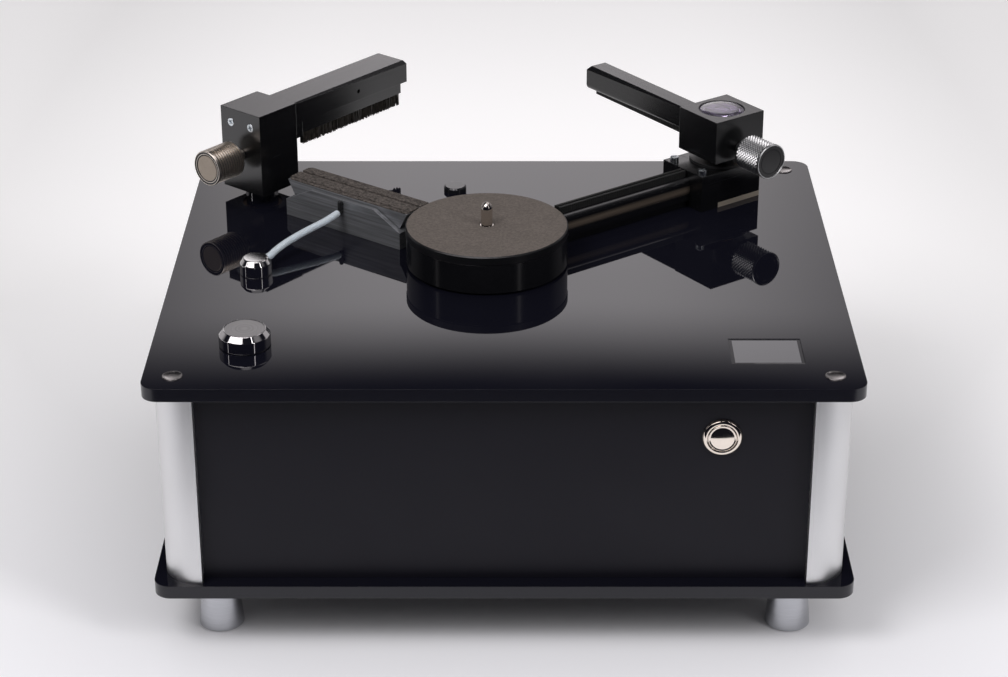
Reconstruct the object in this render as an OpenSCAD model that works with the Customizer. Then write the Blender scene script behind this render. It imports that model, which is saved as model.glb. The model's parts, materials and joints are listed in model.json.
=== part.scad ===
/* [Plates and case] */
// Width of the top and bottom plates
plate_w = 406; // [400:1:430]
// Depth of the top and bottom plates
plate_d = 338; // [334:1:360]
// Thickness of each plate
plate_t = 8; // [7:0.5:10]
// Corner radius of the plates
plate_r = 10; // [8:0.5:14]
// Clear height between the plates
bay_h = 120; // [118:1:140]
// Side of a corner post
post_w = 23; // [21:0.5:25]
// Radius of a corner post's outer edge
post_r = 20.5; // [17:0.5:20.5]
// Distance from the plates' side edges to the posts
post_inset_x = 5.5; // [4:0.5:8]
// Distance from the plates' front and rear edges to the posts
post_inset_y = 3; // [2:0.5:6]
// Thickness of the case panels
panel_t = 3; // [2:0.5:4]
// Depth of the panels behind the posts' outer faces
panel_recess = 7.5; // [6:0.5:9]
// Depth of a panel's edge in its groove
panel_grip = 4; // [3:0.5:5]

/* [Feet and screws] */
// Height of a foot
foot_h = 36.5; // [30:0.5:44]
// Diameter of a foot at the floor
foot_d = 26.6; // [24:0.2:30]
// Diameter of a foot under the plate
foot_top_d = 20.4; // [18:0.2:23]
// Distance of the feet from the plates' edges
foot_inset = 34.5; // [32:0.5:38]
// Thickness of the rubber pad in a foot
foot_pad_t = 3; // [2:0.5:5]
// Diameter of a plate screw's dished head
plate_screw_d = 11.6; // [10:0.2:13]
// Distance of the plate screws from the side edges
plate_screw_x = 17; // [15:0.5:19]
// Distance of the plate screws from the front and rear edges
plate_screw_y = 16; // [13:0.5:18]

/* [Platter] */
// Platter centre, left of the plate's centre
spindle_x = -11; // [-16:0.5:-6]
// Platter centre, behind the plate's centre
spindle_y = 3; // [0:0.5:8]
// Diameter of the record's rest, as wide as a label
platter_d = 100; // [96:1:102]
// Height of the record's rest over the plate
platter_h = 25.4; // [24.8:0.2:28]
// Thickness of the soft ring that the record lies on
pad_t = 5.6; // [4:0.2:6.4]
// Running gap under the platter
platter_gap = 1.5; // [1:0.1:2]
// Diameter of the spindle
spindle_d = 7.2; // [6.8:0.05:7.6]
// Height of the spindle over the rest
spindle_h = 15; // [14:0.1:20]
// Diameter of the platter shaft
shaft_d = 12; // [10:0.5:14]
// Length of the main bearing under the plate
bearing_h = 46; // [40:1:50]
// Pitch radius of the platter pulley
big_pulley_r = 30; // [26:0.5:32]
// Pitch radius of the motor pulley
small_pulley_r = 8; // [7:0.5:10]
// Distance between the pulleys
belt_span = 72; // [68:1:76]
// Width of the belt
belt_w = 6; // [4:0.5:7]
// Diameter of the drive motor
motor_d = 42; // [36:1:46]

/* [Arm towers] */
// Left post, from the plate's left edge
left_x = 43.4; // [42:0.2:45]
// Right post, from the plate's right edge
right_x = 63; // [61:0.2:64]
// Both posts, from the plate's rear edge
tower_y = 54; // [52:0.5:56]
// Diameter of the two chromed posts
arm_post_d = 21; // [19:0.5:22]
// Wall of the lift bushes
bush_t = 2.5; // [2:0.1:3]
// Width of the bevel along an arm's top edge
arm_bevel = 1.3; // [0.8:0.1:1.8]
// Length of a clamp knob
knob_len = 23; // [20:0.5:25]
// Diameter of a clamp knob
knob_d = 23; // [20:0.5:25]
// Gap between a tower block and its clamp knob
knob_standoff = 8.4; // [6:0.2:10]

/* [Brush arm] */
// Direction of the parked brush arm, from the front edge
left_park = 50.5; // [46:0.5:56]
// Length of the left block along its arm
left_block_l = 33.4; // [32:0.2:36]
// Width of the left block
left_block_w = 35; // [33:0.5:38]
// Underside of the left block over the plate
left_block_z = 6.3; // [6:0.1:8]
// Top of the left block over the plate
left_top = 61.3; // [60:0.1:66]
// Reach of the brush arm from its post
left_reach = 122; // [116:1:126]
// Width of the brush arm
left_arm_w = 23.6; // [21:0.2:26]
// Height of the brush arm
left_arm_h = 14.5; // [13:0.5:15]
// Height of the left clamp knob's axis over the plate
left_knob_z = 31.6; // [28:0.2:34]
// Lean of the brush arm's front face, out at its tip
left_flare = 2; // [0:0.1:3]
// Setback of the brush from the block's front face
brush_inset = 0.5; // [0.2:0.1:1.5]
// Length of the brush
brush_l = 95.8; // [90:0.2:98]
// Thickness of the brush holder
brush_holder_t = 5; // [4:0.2:6]
// Height of the brush holder
brush_holder_h = 7.8; // [7:0.2:9]
// Free length of the bristles
bristle_h = 9; // [7:0.2:9.2]

/* [Suction arm] */
// Direction of the parked suction arm, from the front edge
right_park = 126; // [120:0.5:130]
// Length of the right block along its arm
right_block_l = 36.9; // [35:0.2:39]
// Width of the right block
right_block_w = 39.6; // [38:0.2:42]
// Underside of the right block over the plate
right_block_z = 29.9; // [29.5:0.1:32]
// Top of the right block over the plate
right_top = 58.2; // [57.6:0.1:62]
// Reach of the suction arm from its post
right_reach = 113.7; // [108:0.5:118]
// Lean of the suction arm's front face, out at its tip
right_flare = 3; // [0:0.1:4]
// Width of a suction bar
suction_w = 13.4; // [12.6:0.2:15]
// Height of a suction bar without its lips
suction_h = 15.7; // [15:0.1:16]
// Height of the lips of a suction bar
lip_h = 4.5; // [3.5:0.1:5]
// Thickness of one lip
lip_t = 2; // [1.6:0.1:2.4]
// Width of the suction slot between the lips
slot_w = 1.6; // [1.2:0.1:2]
// Height of the right clamp knob's axis over the plate
right_knob_z = 37.4; // [36.5:0.2:38]
// Diameter of the bull's-eye level
level_d = 29.2; // [27:0.2:31]

/* [Lower arms] */
// Height of the right tower's base block
base_block_h = 24.1; // [23:0.1:25]
// Length of the right tower's base block along the arm
base_block_l = 35.2; // [34:0.2:38]
// Width of the right tower's base block
base_block_w = 39; // [37:0.5:41]
// Thickness of the satin shim under the base block
shim_t = 3.4; // [2:0.1:4]
// Length of the bracket that carries the lower suction bar
bracket_l = 14; // [12:0.5:15]
// Top of the lower lips over the plate
lower_lip_top = 24.3; // [24.2:0.1:24.5]
// Sideways offset of the lower suction bar
lower_bar_y = -1.2; // [-2.5:0.1:0]
// Height of the brush cradle in its middle
cradle_h = 21.8; // [20:0.2:22.4]
// Height of the brush cradle at its ends
cradle_end_h = 11; // [10:0.2:13]
// Length of the brush cradle
cradle_l = 93.7; // [88:0.5:95]
// Length of the cradle's high middle
cradle_mid_l = 51.5; // [46:0.5:56]
// Height of the felt carrier's seat over the plate
carrier_seat = 12.3; // [11.5:0.1:13]
// Thickness of the felt strips
felt_t = 1.4; // [1:0.1:2]
// Width of the felt carrier
carrier_w = 21.8; // [20:0.2:22]
// Width of the outer felt strip
felt_wide = 12; // [10:0.2:12.4]
// Width of the inner felt strip
felt_narrow = 7.6; // [6:0.2:7.8]

/* [Controls and fluid] */
// Display centre, from the plate's right edge
display_inset_x = 53; // [50:0.5:56]
// Display centre, from the plate's front edge
display_inset_y = 48; // [46:0.5:52]
// Width of the display window
display_w = 37.5; // [34:0.5:40]
// Depth of the display window
display_d = 28; // [25:0.5:30]
// Program knob centre, from the plate's left edge
dial_inset_x = 54; // [50:0.5:58]
// Program knob centre, from the plate's front edge
dial_inset_y = 56.5; // [54:0.5:60]
// Diameter of the program knob
dial_d = 30; // [27:0.5:33]
// Diameter of the program knob's top face
dial_top_d = 24.6; // [22:0.2:26]
// Height of the program knob
dial_h = 10; // [9:0.2:12]
// Height of the program knob's chamfer
dial_chamfer = 3.2; // [2.5:0.1:3.6]
// Power button, from the plate's right edge
button_inset_x = 79.7; // [76:0.1:84]
// Power button, below the top plate's surface
button_drop = 35.6; // [32:0.2:40]
// Diameter of the power button's bezel
bezel_d = 22.8; // [21.4:0.2:24]
// Diameter of the power button's cap
cap_d = 16.4; // [15:0.2:17]
// Fluid turret, from the plate's left edge
turret_x = 51.4; // [51:0.1:51.8]
// Fluid turret, in front of the plate's centre
turret_y = -13; // [-13.4:0.1:-12.6]
// Diameter of the fluid turret
turret_d = 19.5; // [19.1:0.1:19.9]
// Height of the fluid turret
turret_h = 10.4; // [9.6:0.2:12]
// Outer diameter of the fluid hose
hose_d = 4.5; // [4.2:0.1:4.8]
// Bore of the fluid hose
hose_bore = 3; // [2.8:0.1:3.2]
// Filler cap, left of the plate's centre
filler_x = -33; // [-36:0.5:-30]
// Filler cap, from the plate's rear edge
filler_y = 51; // [49:0.5:53]
// Diameter of the filler cap
filler_d = 14.6; // [13.6:0.2:16]
// Height of the filler cap
filler_h = 3.6; // [2.8:0.1:4.4]

/* [Hidden] */

$fn = 64;
// Clearances of press seats, running fits and loose seats
press_gap = 0.02;
run_gap = 0.05;
seat_gap = 0.2;

bay_z = foot_h + plate_t;
plate_top = bay_z + bay_h + plate_t;
bay_top = plate_top - plate_t;
post_x = plate_w/2 - post_inset_x;
post_y = plate_d/2 - post_inset_y;
screw_x = plate_w/2 - plate_screw_x;
screw_y = plate_d/2 - plate_screw_y;
foot_x = plate_w/2 - foot_inset;
foot_y = plate_d/2 - foot_inset;
screw_shank_d = 6;
screw_depth = 22;
stud_d = 6;
post_wall_x = post_x - post_w;
left_mid_x = -plate_w/2 + left_x;
right_mid_x = plate_w/2 - right_x;
towers_y = plate_d/2 - tower_y;

platter_r = platter_d/2;
collar_d = spindle_d + 1;
collar_drop = 0.3;
neck_d = shaft_d + 20;
belt_z = bay_top - bearing_h - 13;
pulley_h = belt_w + 5;
belt_t = 1;
motor_y = spindle_y - belt_span;
motor_shaft_d = 5;

bush_d = arm_post_d + 2*run_gap + 2*bush_t;
block_bore_d = bush_d + 2*run_gap;
left_ceiling = left_top - 13.3;
left_post_top = left_ceiling - 7;
right_ceiling = right_top - 8.4;
right_post_top = right_ceiling - 6;
knob_screw_d = 6;
knob_stub_d = 7;
socket_h = 34;
left_screw_pitch = 17.6;
left_screw_drop = 9.5;

left_tip = towers_y + left_reach*sin(left_park) + (left_arm_w - left_block_w/2)*cos(left_park);
right_tip = towers_y + right_reach*sin(right_park) + (right_block_w/2 - suction_w)*cos(right_park);
rear_reach = max(left_tip, right_tip, plate_d/2);

left_radial = atan2(towers_y - spindle_y, left_mid_x - spindle_x);
right_radial = atan2(towers_y - spindle_y, right_mid_x - spindle_x);
right_dist = norm([towers_y - spindle_y, right_mid_x - spindle_x]);
hub_gap = 1.3;
carrier_back = -7.3;
cheek_t = 3.2;
carrier_l = 98;
carrier_slope = 6;
carrier_top = platter_h - 0.8 - felt_t;
cradle_in = platter_r + 4.5;
cradle_front = carrier_back + carrier_w + 0.5 + cheek_t;
elbow_s = 101.3;
elbow_leg_d = 2.8;
elbow_ball_d = 3.6;
elbow_low = 14;
elbow_y = cradle_front + 1.9;
elbow_top = cradle_h + 0.3;
nipple_z = cradle_h - 2.4;

display_x = plate_w/2 - display_inset_x;
display_y = -plate_d/2 + display_inset_y;
dial_x = -plate_w/2 + dial_inset_x;
dial_y = -plate_d/2 + dial_inset_y;
dial_shaft_d = 6;
dial_gap = 0.4;
button_x = plate_w/2 - button_inset_x;
button_z = plate_top - button_drop;
front_face = -post_y + panel_recess;
barrel_d = 19;
turret_mid_x = -plate_w/2 + turret_x;
filler_mid_y = plate_d/2 - filler_y;

// The hose leaves the turret's wall and climbs to the elbow on the brush cradle
elbow_at = [
    spindle_x + elbow_s*cos(left_radial) - elbow_y*sin(left_radial),
    spindle_y + elbow_s*sin(left_radial) + elbow_y*cos(left_radial)
];
hose_start = [turret_mid_x + 4.7, turret_y + 9.3];
hose_end = elbow_at + [-1.5, -2.4];
hose_way = hose_end - hose_start;
hose_side = [-hose_way[1], hose_way[0]]/norm(hose_way);
// Share of the way, distance to the left of it and height
hose_shape = [
    [0, 0, 5.6], [0.07, -0.1, 6], [0.16, 0.4, 7.6], [0.31, 1, 9.2], [0.47, 0.8, 10.6],
    [0.63, 0.2, 11.8], [0.8, -0.5, 12.9], [0.94, -0.4, 14], [1, 0, elbow_low + 0.4]
];
hose_route = [
    for (q = hose_shape) let (flat = hose_start + q[0]*hose_way + q[1]*hose_side) [flat[0], flat[1], q[2]]
];
hose_path = smooth_route(hose_route, 2);
barb_d = hose_bore - 0.4;

function unit(v) = v/norm(v);
function spline_at(p, i, t) =
    let (a = p[max(i - 1, 0)], b = p[i], c = p[i + 1], d = p[min(i + 2, len(p) - 1)])
    0.5*(2*b + (c - a)*t + (2*a - 5*b + 4*c - d)*t*t + (3*b - a - 3*c + d)*t*t*t);
function smooth_route(p, steps) = [
    for (i = [0 : len(p) - 2], k = [0 : steps - 1]) spline_at(p, i, k/steps),
    p[len(p) - 1]
];
function tangent_at(p, i) = unit(p[min(i + 1, len(p) - 1)] - p[max(i - 1, 0)]);
function ring_at(c, tangent, r, sides) =
    let (side = unit(cross(tangent, [0, 0, 1])), up = cross(side, tangent))
    [for (k = [0 : sides - 1]) c + r*(cos(k*360/sides)*side + sin(k*360/sides)*up)];

module swept_tube(p, r, sides) {
    rings = [for (i = [0 : len(p) - 1]) each ring_at(p[i], tangent_at(p, i), r, sides)];
    last = (len(p) - 1)*sides;
    polyhedron(points = rings, faces = [
        [for (k = [sides - 1 : -1 : 0]) k],
        for (i = [0 : len(p) - 2], k = [0 : sides - 1])
            [i*sides + k, i*sides + (k + 1)%sides, (i + 1)*sides + (k + 1)%sides, (i + 1)*sides + k],
        [for (k = [0 : sides - 1]) last + k]
    ]);
}

module rounded_rect(w, d, r) {
    square([w - 2*r, d], center = true);
    square([w, d - 2*r], center = true);
    for (x = [-1, 1], y = [-1, 1]) translate([x*(w/2 - r), y*(d/2 - r)]) circle(r);
}

// The parked arms reach back past the plates, and the origin is under the middle of it all
module centred() {
    translate([0, (plate_d/2 - rear_reach)/2, 0]) children();
}

module at_corners(x, y) {
    for (flip_x = [0, 1], flip_y = [0, 1]) mirror([flip_x, 0, 0]) mirror([0, flip_y, 0])
        translate([x, y, 0]) children();
}

module on_left_post() {
    translate([left_mid_x, towers_y, plate_top]) rotate([0, 0, left_park]) children();
}

module on_right_post() {
    translate([right_mid_x, towers_y, plate_top]) rotate([0, 0, right_park]) children();
}

module on_spindle(z) {
    translate([spindle_x, spindle_y, z]) children();
}

module toward_left() {
    on_spindle(plate_top) rotate([0, 0, left_radial]) children();
}

module toward_right() {
    on_spindle(plate_top) rotate([0, 0, right_radial]) children();
}

module ring(d, bore, h) {
    difference() {
        cylinder(d = d, h = h);
        translate([0, 0, -1]) cylinder(d = bore, h = h + 2);
    }
}

// Section in Y and Z, drawn on X and Y, stood up and run along X
module run_along_x(l) {
    rotate([90, 0, 90]) linear_extrude(l) children();
}

module plate_blank(z) {
    translate([0, 0, z]) linear_extrude(plate_t) rounded_rect(plate_w, plate_d, plate_r);
}

module bottom_plate() {
    color("#26262a") centred() difference() {
        plate_blank(foot_h);
        at_corners(screw_x, screw_y) translate([0, 0, foot_h - 1])
            cylinder(d = screw_shank_d + 2*run_gap, h = plate_t + 2);
        at_corners(foot_x, foot_y) translate([0, 0, foot_h - 1])
            cylinder(d = stud_d + 2*run_gap, h = plate_t + 2);
    }
}

module top_plate() {
    color("#202024") centred() difference() {
        plate_blank(bay_top);
        translate([0, 0, bay_top - 1]) {
            at_corners(screw_x, screw_y) cylinder(d = screw_shank_d + 2*run_gap, h = plate_t + 2);
            translate([spindle_x, spindle_y]) cylinder(d = neck_d + seat_gap, h = plate_t + 2);
            for (x = [left_mid_x, right_mid_x]) translate([x, towers_y])
                cylinder(d = arm_post_d + 2*run_gap, h = plate_t + 2);
            translate([dial_x, dial_y]) cylinder(d = dial_shaft_d + 1, h = plate_t + 2);
            translate([turret_mid_x, turret_y]) cylinder(d = turret_stem_d + seat_gap, h = plate_t + 2);
            translate([filler_x, filler_mid_y]) cylinder(d = filler_neck_d + seat_gap, h = plate_t + 2);
        }
        translate([display_x, display_y, bay_top - 1]) linear_extrude(plate_t + 2)
            square([display_w, display_d], center = true);
        translate([display_x, display_y, plate_top - window_t - 0.3]) linear_extrude(plate_t)
            square([display_w + 2*window_lip, display_d + 2*window_lip], center = true);
    }
}

module post_section() {
    difference() {
        union() {
            translate([-post_w, -post_w]) square([post_w - post_r, post_w]);
            translate([-post_w, -post_w]) square([post_w, post_w - post_r]);
            translate([-post_r, -post_r]) intersection() {
                circle(post_r);
                square(post_r);
            }
        }
        translate([-post_w - 1, -panel_recess - panel_t - 0.1])
            square([panel_grip + 1.2, panel_t + 0.2]);
        translate([-panel_recess - panel_t - 0.1, -post_w - 1])
            square([panel_t + 0.2, panel_grip + 1.2]);
    }
}

module corner_posts() {
    color("silver") centred() at_corners(0, 0) difference() {
        translate([post_x, post_y, bay_z]) linear_extrude(bay_h) post_section();
        for (z = [bay_z - 1, bay_top - screw_depth]) translate([screw_x, screw_y, z])
            cylinder(d = screw_shank_d + 2*run_gap, h = screw_depth + 1);
    }
}

module wall_panel(l) {
    linear_extrude(bay_h) square([l, panel_t], center = true);
}

panel_l_front = 2*(post_x - post_w + panel_grip);
panel_l_side = 2*(post_y - post_w + panel_grip);
panel_mid_y = post_y - panel_recess - panel_t/2;
panel_mid_x = post_x - panel_recess - panel_t/2;

module front_panel() {
    color("#222226") centred() difference() {
        translate([0, -panel_mid_y, bay_z]) wall_panel(panel_l_front);
        translate([button_x, front_face - 1, button_z]) rotate([-90, 0, 0])
            cylinder(d = barrel_d + seat_gap, h = panel_t + 2);
    }
}

vent_n = 7;
vent_pitch = 7;
vent_w = 3;
vent_l = 44;
vent_x = plate_w/2 - 83;
inlet_x = -plate_w/2 + 93;
inlet_z = bay_z + 30;
inlet_w = 27;
inlet_h = 20;
drain_x = plate_w/2 - 143;
drain_z = bay_z + 22;
drain_d = 12;
spout_d = 8;
spout_bore = 5;
spout_l = 12;
rear_face = panel_mid_y + panel_t/2;
side_wall = panel_mid_x - panel_t/2;

module rear_panel() {
    color("#222226") centred() difference() {
        translate([0, panel_mid_y, bay_z]) wall_panel(panel_l_front);
        for (i = [0 : vent_n - 1])
            translate([vent_x + (i - (vent_n - 1)/2)*vent_pitch, panel_mid_y, bay_z + 30]) vent_slot();
        translate([inlet_x, panel_mid_y, inlet_z])
            cube([inlet_w + seat_gap, panel_t + 2, inlet_h + seat_gap], center = true);
        translate([drain_x, panel_mid_y - panel_t, drain_z]) rotate([-90, 0, 0])
            cylinder(d = drain_d + seat_gap, h = 2*panel_t);
    }
}

module vent_slot() {
    rotate([90, 0, 0]) linear_extrude(panel_t + 2, center = true) {
        translate([-vent_w/2, 0]) square([vent_w, vent_l]);
        for (z = [0, vent_l]) translate([0, z]) circle(d = vent_w);
    }
}

module side_panels() {
    color("#222226") centred() for (x = [-1, 1]) translate([x*panel_mid_x, 0, bay_z])
        rotate([0, 0, 90]) wall_panel(panel_l_side);
}

foot_pad_d = foot_d - 5;
foot_lift = 0.6;

module feet() {
    color("silver") centred() at_corners(foot_x, foot_y) difference() {
        union() {
            translate([0, 0, foot_lift])
                cylinder(d1 = foot_d, d2 = foot_top_d, h = foot_h - foot_lift);
            translate([0, 0, foot_h - 1]) cylinder(d = stud_d, h = plate_t);
        }
        translate([0, 0, -1]) cylinder(d = foot_pad_d + 2*press_gap, h = foot_pad_t + 1);
    }
}

module foot_pads() {
    color("#1a1a1a") centred() at_corners(foot_x, foot_y) cylinder(d = foot_pad_d, h = foot_pad_t);
}

plate_screw_h = 1.2;

module plate_screw() {
    difference() {
        cylinder(d = plate_screw_d, h = plate_screw_h);
        translate([0, 0, plate_screw_h - 0.5]) cylinder(d1 = 3, d2 = plate_screw_d - 1.6, h = 0.6);
    }
    translate([0, 0, -plate_t - screw_depth + 2]) cylinder(d = screw_shank_d, h = plate_t + screw_depth - 2);
}

module plate_screws() {
    color("silver") centred() at_corners(screw_x, screw_y) {
        translate([0, 0, plate_top]) plate_screw();
        translate([0, 0, foot_h]) rotate([180, 0, 0]) plate_screw();
    }
}

seat_step = platter_h - 8.8;

module platter_body() {
    color("#101012") centred() on_spindle(plate_top) difference() {
        translate([0, 0, platter_gap]) cylinder(d = platter_d - 0.6, h = platter_h - pad_t - platter_gap);
        translate([0, 0, -1]) cylinder(d = shaft_d + 2*press_gap, h = seat_step + 1);
        cylinder(d = collar_d + 2*press_gap, h = platter_h + 1);
    }
}

module platter_pad() {
    bore_r = collar_d/2 + 2*seat_gap;
    color("#5c5650") centred() on_spindle(plate_top) rotate_extrude($fn = 128) polygon([
        [bore_r, platter_h - pad_t],
        [platter_r - 0.4, platter_h - pad_t],
        [platter_r, platter_h - pad_t + 0.5],
        [platter_r, platter_h - 0.8],
        [platter_r - 0.8, platter_h],
        [bore_r, platter_h]
    ]);
}

shaft_foot = belt_z - pulley_h/2 - 2;
tip_h = 4.8;

tip_steps = 6;

// Points of a rounded tip that begins at this radius and height, up to just short of its axis
function tip_points(r, base) =
    let (arc = (r*r + tip_h*tip_h)/(2*r), sweep = asin(tip_h/arc))
    [for (i = [0:tip_steps - 1]) let (a = sweep*i/tip_steps) [r - arc + arc*cos(a), base + arc*sin(a)]];

// Shaft, collar under the record's rest and pin, with a wall of full width up to its tip
module spindle_shaft() {
    rest = plate_top + platter_h;
    r = spindle_d/2;
    color("silver") centred() on_spindle(0) rotate_extrude() polygon(concat(
        [
            [0, shaft_foot],
            [shaft_d/2, shaft_foot],
            [shaft_d/2, plate_top + seat_step],
            [collar_d/2, plate_top + seat_step],
            [collar_d/2, rest - collar_drop],
            [r, rest - collar_drop]
        ],
        tip_points(r, rest + spindle_h - tip_h),
        [[0, rest + spindle_h]]
    ));
}

flange_d = 70;
flange_t = 6;

module bearing_housing() {
    color("gray") centred() on_spindle(0) difference() {
        union() {
            translate([0, 0, bay_top - flange_t]) cylinder(d = flange_d, h = flange_t);
            translate([0, 0, bay_top - bearing_h]) cylinder(d = neck_d, h = bearing_h + plate_t);
            translate([0, 0, bay_top]) cylinder(d = shaft_d + 8, h = plate_t + platter_gap - run_gap);
        }
        translate([0, 0, bay_top - bearing_h - 1])
            cylinder(d = shaft_d + 2*run_gap, h = bearing_h + plate_t + platter_gap + 2);
    }
}

module pulley(r, bore) {
    translate([0, 0, belt_z - pulley_h/2]) difference() {
        union() {
            cylinder(r = r + 2, h = 2);
            cylinder(r = r, h = pulley_h);
            translate([0, 0, pulley_h - 2]) cylinder(r = r + 2, h = 2);
        }
        translate([0, 0, -1]) cylinder(d = bore, h = pulley_h + 2);
    }
}

module platter_pulley() {
    color("dimgray") centred() on_spindle(0) pulley(big_pulley_r, shaft_d + 2*press_gap);
}

motor_top = belt_z - pulley_h/2 - 4;

module drive_motor() {
    color("darkgray") centred() translate([spindle_x, motor_y, 0]) difference() {
        union() {
            translate([0, 0, bay_z]) cylinder(d = motor_d, h = motor_top - bay_z);
            translate([0, 0, bay_z]) linear_extrude(3) rounded_rect(motor_d + 12, motor_d + 12, 6);
        }
        translate([0, 0, motor_top - 10]) cylinder(d = motor_shaft_d + 2*run_gap, h = 12);
    }
}

module motor_pulley() {
    color("silver") centred() translate([spindle_x, motor_y, 0]) {
        pulley(small_pulley_r, 1);
        translate([0, 0, motor_top - 8]) cylinder(d = motor_shaft_d, h = 8 + 4 + pulley_h);
    }
}

module belt_outline(grow) {
    ra = big_pulley_r + seat_gap + grow;
    rb = small_pulley_r + seat_gap + grow;
    lean = asin((ra - rb)/belt_span);
    circle(ra);
    translate([0, -belt_span]) circle(rb);
    polygon([for (q = [[ra, 0, 1], [rb, -belt_span, 1], [rb, -belt_span, -1], [ra, 0, -1]])
        [q[2]*q[0]*cos(lean), q[1] - q[0]*sin(lean)]]);
}

module drive_belt() {
    color("#151515") centred() on_spindle(belt_z - belt_w/2) linear_extrude(belt_w) difference() {
        belt_outline(belt_t);
        belt_outline(0);
    }
}

post_foot = bay_top - socket_h + 4;

module post_sockets() {
    color("gray") centred() translate([0, towers_y, post_foot - 4])
        for (x = [left_mid_x, right_mid_x]) translate([x, 0, 0]) difference() {
            union() {
                cylinder(d = arm_post_d + 11, h = socket_h);
                translate([0, 0, socket_h - 6]) cylinder(d = arm_post_d + 23, h = 6);
            }
            translate([0, 0, 4]) cylinder(d = arm_post_d + 2*press_gap, h = socket_h);
        }
}

module arm_post(x, top) {
    translate([x, towers_y, post_foot]) cylinder(d = arm_post_d, h = plate_top + top - post_foot);
}

module arm_posts() {
    color("#e4e6ea") centred() {
        arm_post(left_mid_x, left_post_top);
        arm_post(right_mid_x, right_post_top);
    }
}

// Split bush, which slides on its post and which its block turns on
module lift_bush(low, high) {
    translate([0, 0, low]) difference() {
        ring(bush_d, arm_post_d + 2*run_gap, high - low);
        translate([-bush_d, -0.75, -1]) cube([bush_d, 1.5, high - low + 2]);
    }
}

module left_bush() {
    color("#b08d4a") centred() on_left_post() lift_bush(left_block_z + 1, left_ceiling - 0.2);
}

module right_bush() {
    color("#b08d4a") centred() on_right_post() lift_bush(right_block_z + 1, right_ceiling - 0.2);
}

// Tower block on its post: bored from below, with a cross hole for the clamp screw
module tower_block(l, w, low, high, ceiling, knob_z) {
    difference() {
        translate([-l/2, -w/2, low]) cube([l, w, high - low]);
        translate([0, 0, low - 1]) cylinder(d = block_bore_d, h = ceiling - low + 1);
        translate([-l/2 - 1, 0, knob_z]) rotate([0, 90, 0])
            cylinder(d = knob_screw_d + 2*run_gap, h = l/2);
    }
}

left_screw_z = left_top - left_screw_drop;
block_screw_d = 3;
block_screw_head = 5.6;

module left_screw_places() {
    for (y = [-1, 1]) translate([-left_block_l/2, y*left_screw_pitch/2, left_screw_z])
        rotate([0, 90, 0]) children();
}

module block_screw(extra) {
    cylinder(d = block_screw_d + extra, h = left_block_l + 9);
    cylinder(d1 = block_screw_head + extra, d2 = block_screw_d, h = 1.6);
}

module left_block() {
    color("#17171a") centred() on_left_post() difference() {
        tower_block(left_block_l, left_block_w, left_block_z, left_top, left_ceiling, left_knob_z);
        left_screw_places() block_screw(2*run_gap);
    }
}

module left_block_screws() {
    color("#c8d0d4") centred() on_left_post() left_screw_places() block_screw(0);
}

// Clamp knob along -X from a block's face, with turned rings on its rim
module clamp_knob(face, axis_z, rings) {
    back = -face - knob_standoff;
    groove = 0.5;
    translate([0, 0, axis_z]) rotate([0, -90, 0]) {
        difference() {
            translate([0, 0, -back]) cylinder(d = knob_d, h = knob_len);
            translate([0, 0, -back + knob_len - 1]) cylinder(d = knob_d - 3, h = 2);
            for (i = [1 : rings]) translate([0, 0, -back + i*knob_len/(rings + 1) - groove/2])
                ring(knob_d + 2, knob_d - 2*groove, groove);
        }
        translate([0, 0, face + 0.4]) cylinder(d = knob_stub_d, h = knob_standoff - 0.4);
        translate([0, 0, block_bore_d/2 + 0.3]) cylinder(d = knob_screw_d, h = face - block_bore_d/2);
    }
}

module left_clamp_knob() {
    color("silver") centred() on_left_post() clamp_knob(left_block_l/2, left_knob_z, 9);
}

module right_clamp_knob() {
    color("silver") centred() on_right_post() clamp_knob(right_block_l/2, right_knob_z, 0);
}

root_l = 5.6;
root_w = 12;
root_h = 9.9;
grub_x = 75;
grub_d = 2.6;
left_arm_z = left_top - left_arm_h;
left_arm_l = left_reach - left_block_l/2;
brush_x = left_block_l/2 + root_l + 0.3;

// Takes off a top edge along X: the cut starts a width inside the face and falls toward it
module bevel_cut(l, width, slope) {
    translate([-1, width, 0]) rotate([slope, 0, 0]) translate([0, -20, 0]) cube([l + 2, 20, 10]);
}

module brush_arm() {
    front = -left_block_w/2;
    color("#26262a") centred() on_left_post() difference() {
        translate([left_block_l/2, front, left_arm_z]) {
            difference() {
                linear_extrude(left_arm_h) polygon([
                    [0, 0], [left_arm_l, -left_flare], [left_arm_l, left_arm_w], [0, left_arm_w]
                ]);
                translate([0, 0, left_arm_h]) bevel_cut(left_arm_l, arm_bevel, 25);
            }
            translate([0, 0, -root_h]) cube([root_l, root_w, root_h + 1]);
        }
        left_screw_places() translate([0, 0, left_block_l]) cylinder(d = block_screw_d + 2*run_gap, h = 10);
        translate([grub_x, front - 3, left_arm_z + 6.2]) rotate([-90, 0, 0]) cylinder(d = grub_d, h = 9);
    }
}

module under_brush_arm() {
    on_left_post() translate([brush_x, brush_inset - left_block_w/2, left_arm_z]) children();
}

module brush_holder() {
    color("#3a3a40") centred() under_brush_arm() translate([0, 0, -brush_holder_h])
        cube([brush_l, brush_holder_t, brush_holder_h]);
}

module bristles() {
    inset = 0.6;
    color("#141312") centred() under_brush_arm()
        translate([inset, inset, -brush_holder_h - bristle_h])
            cube([brush_l - 3*inset, brush_holder_t - 2*inset, bristle_h]);
}

module cradle_outline(l, mid, low, high) {
    slope = (l - mid)/2;
    polygon([[0, 0], [l, 0], [l, low], [l - slope, high], [slope, high], [0, low]]);
}

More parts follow.
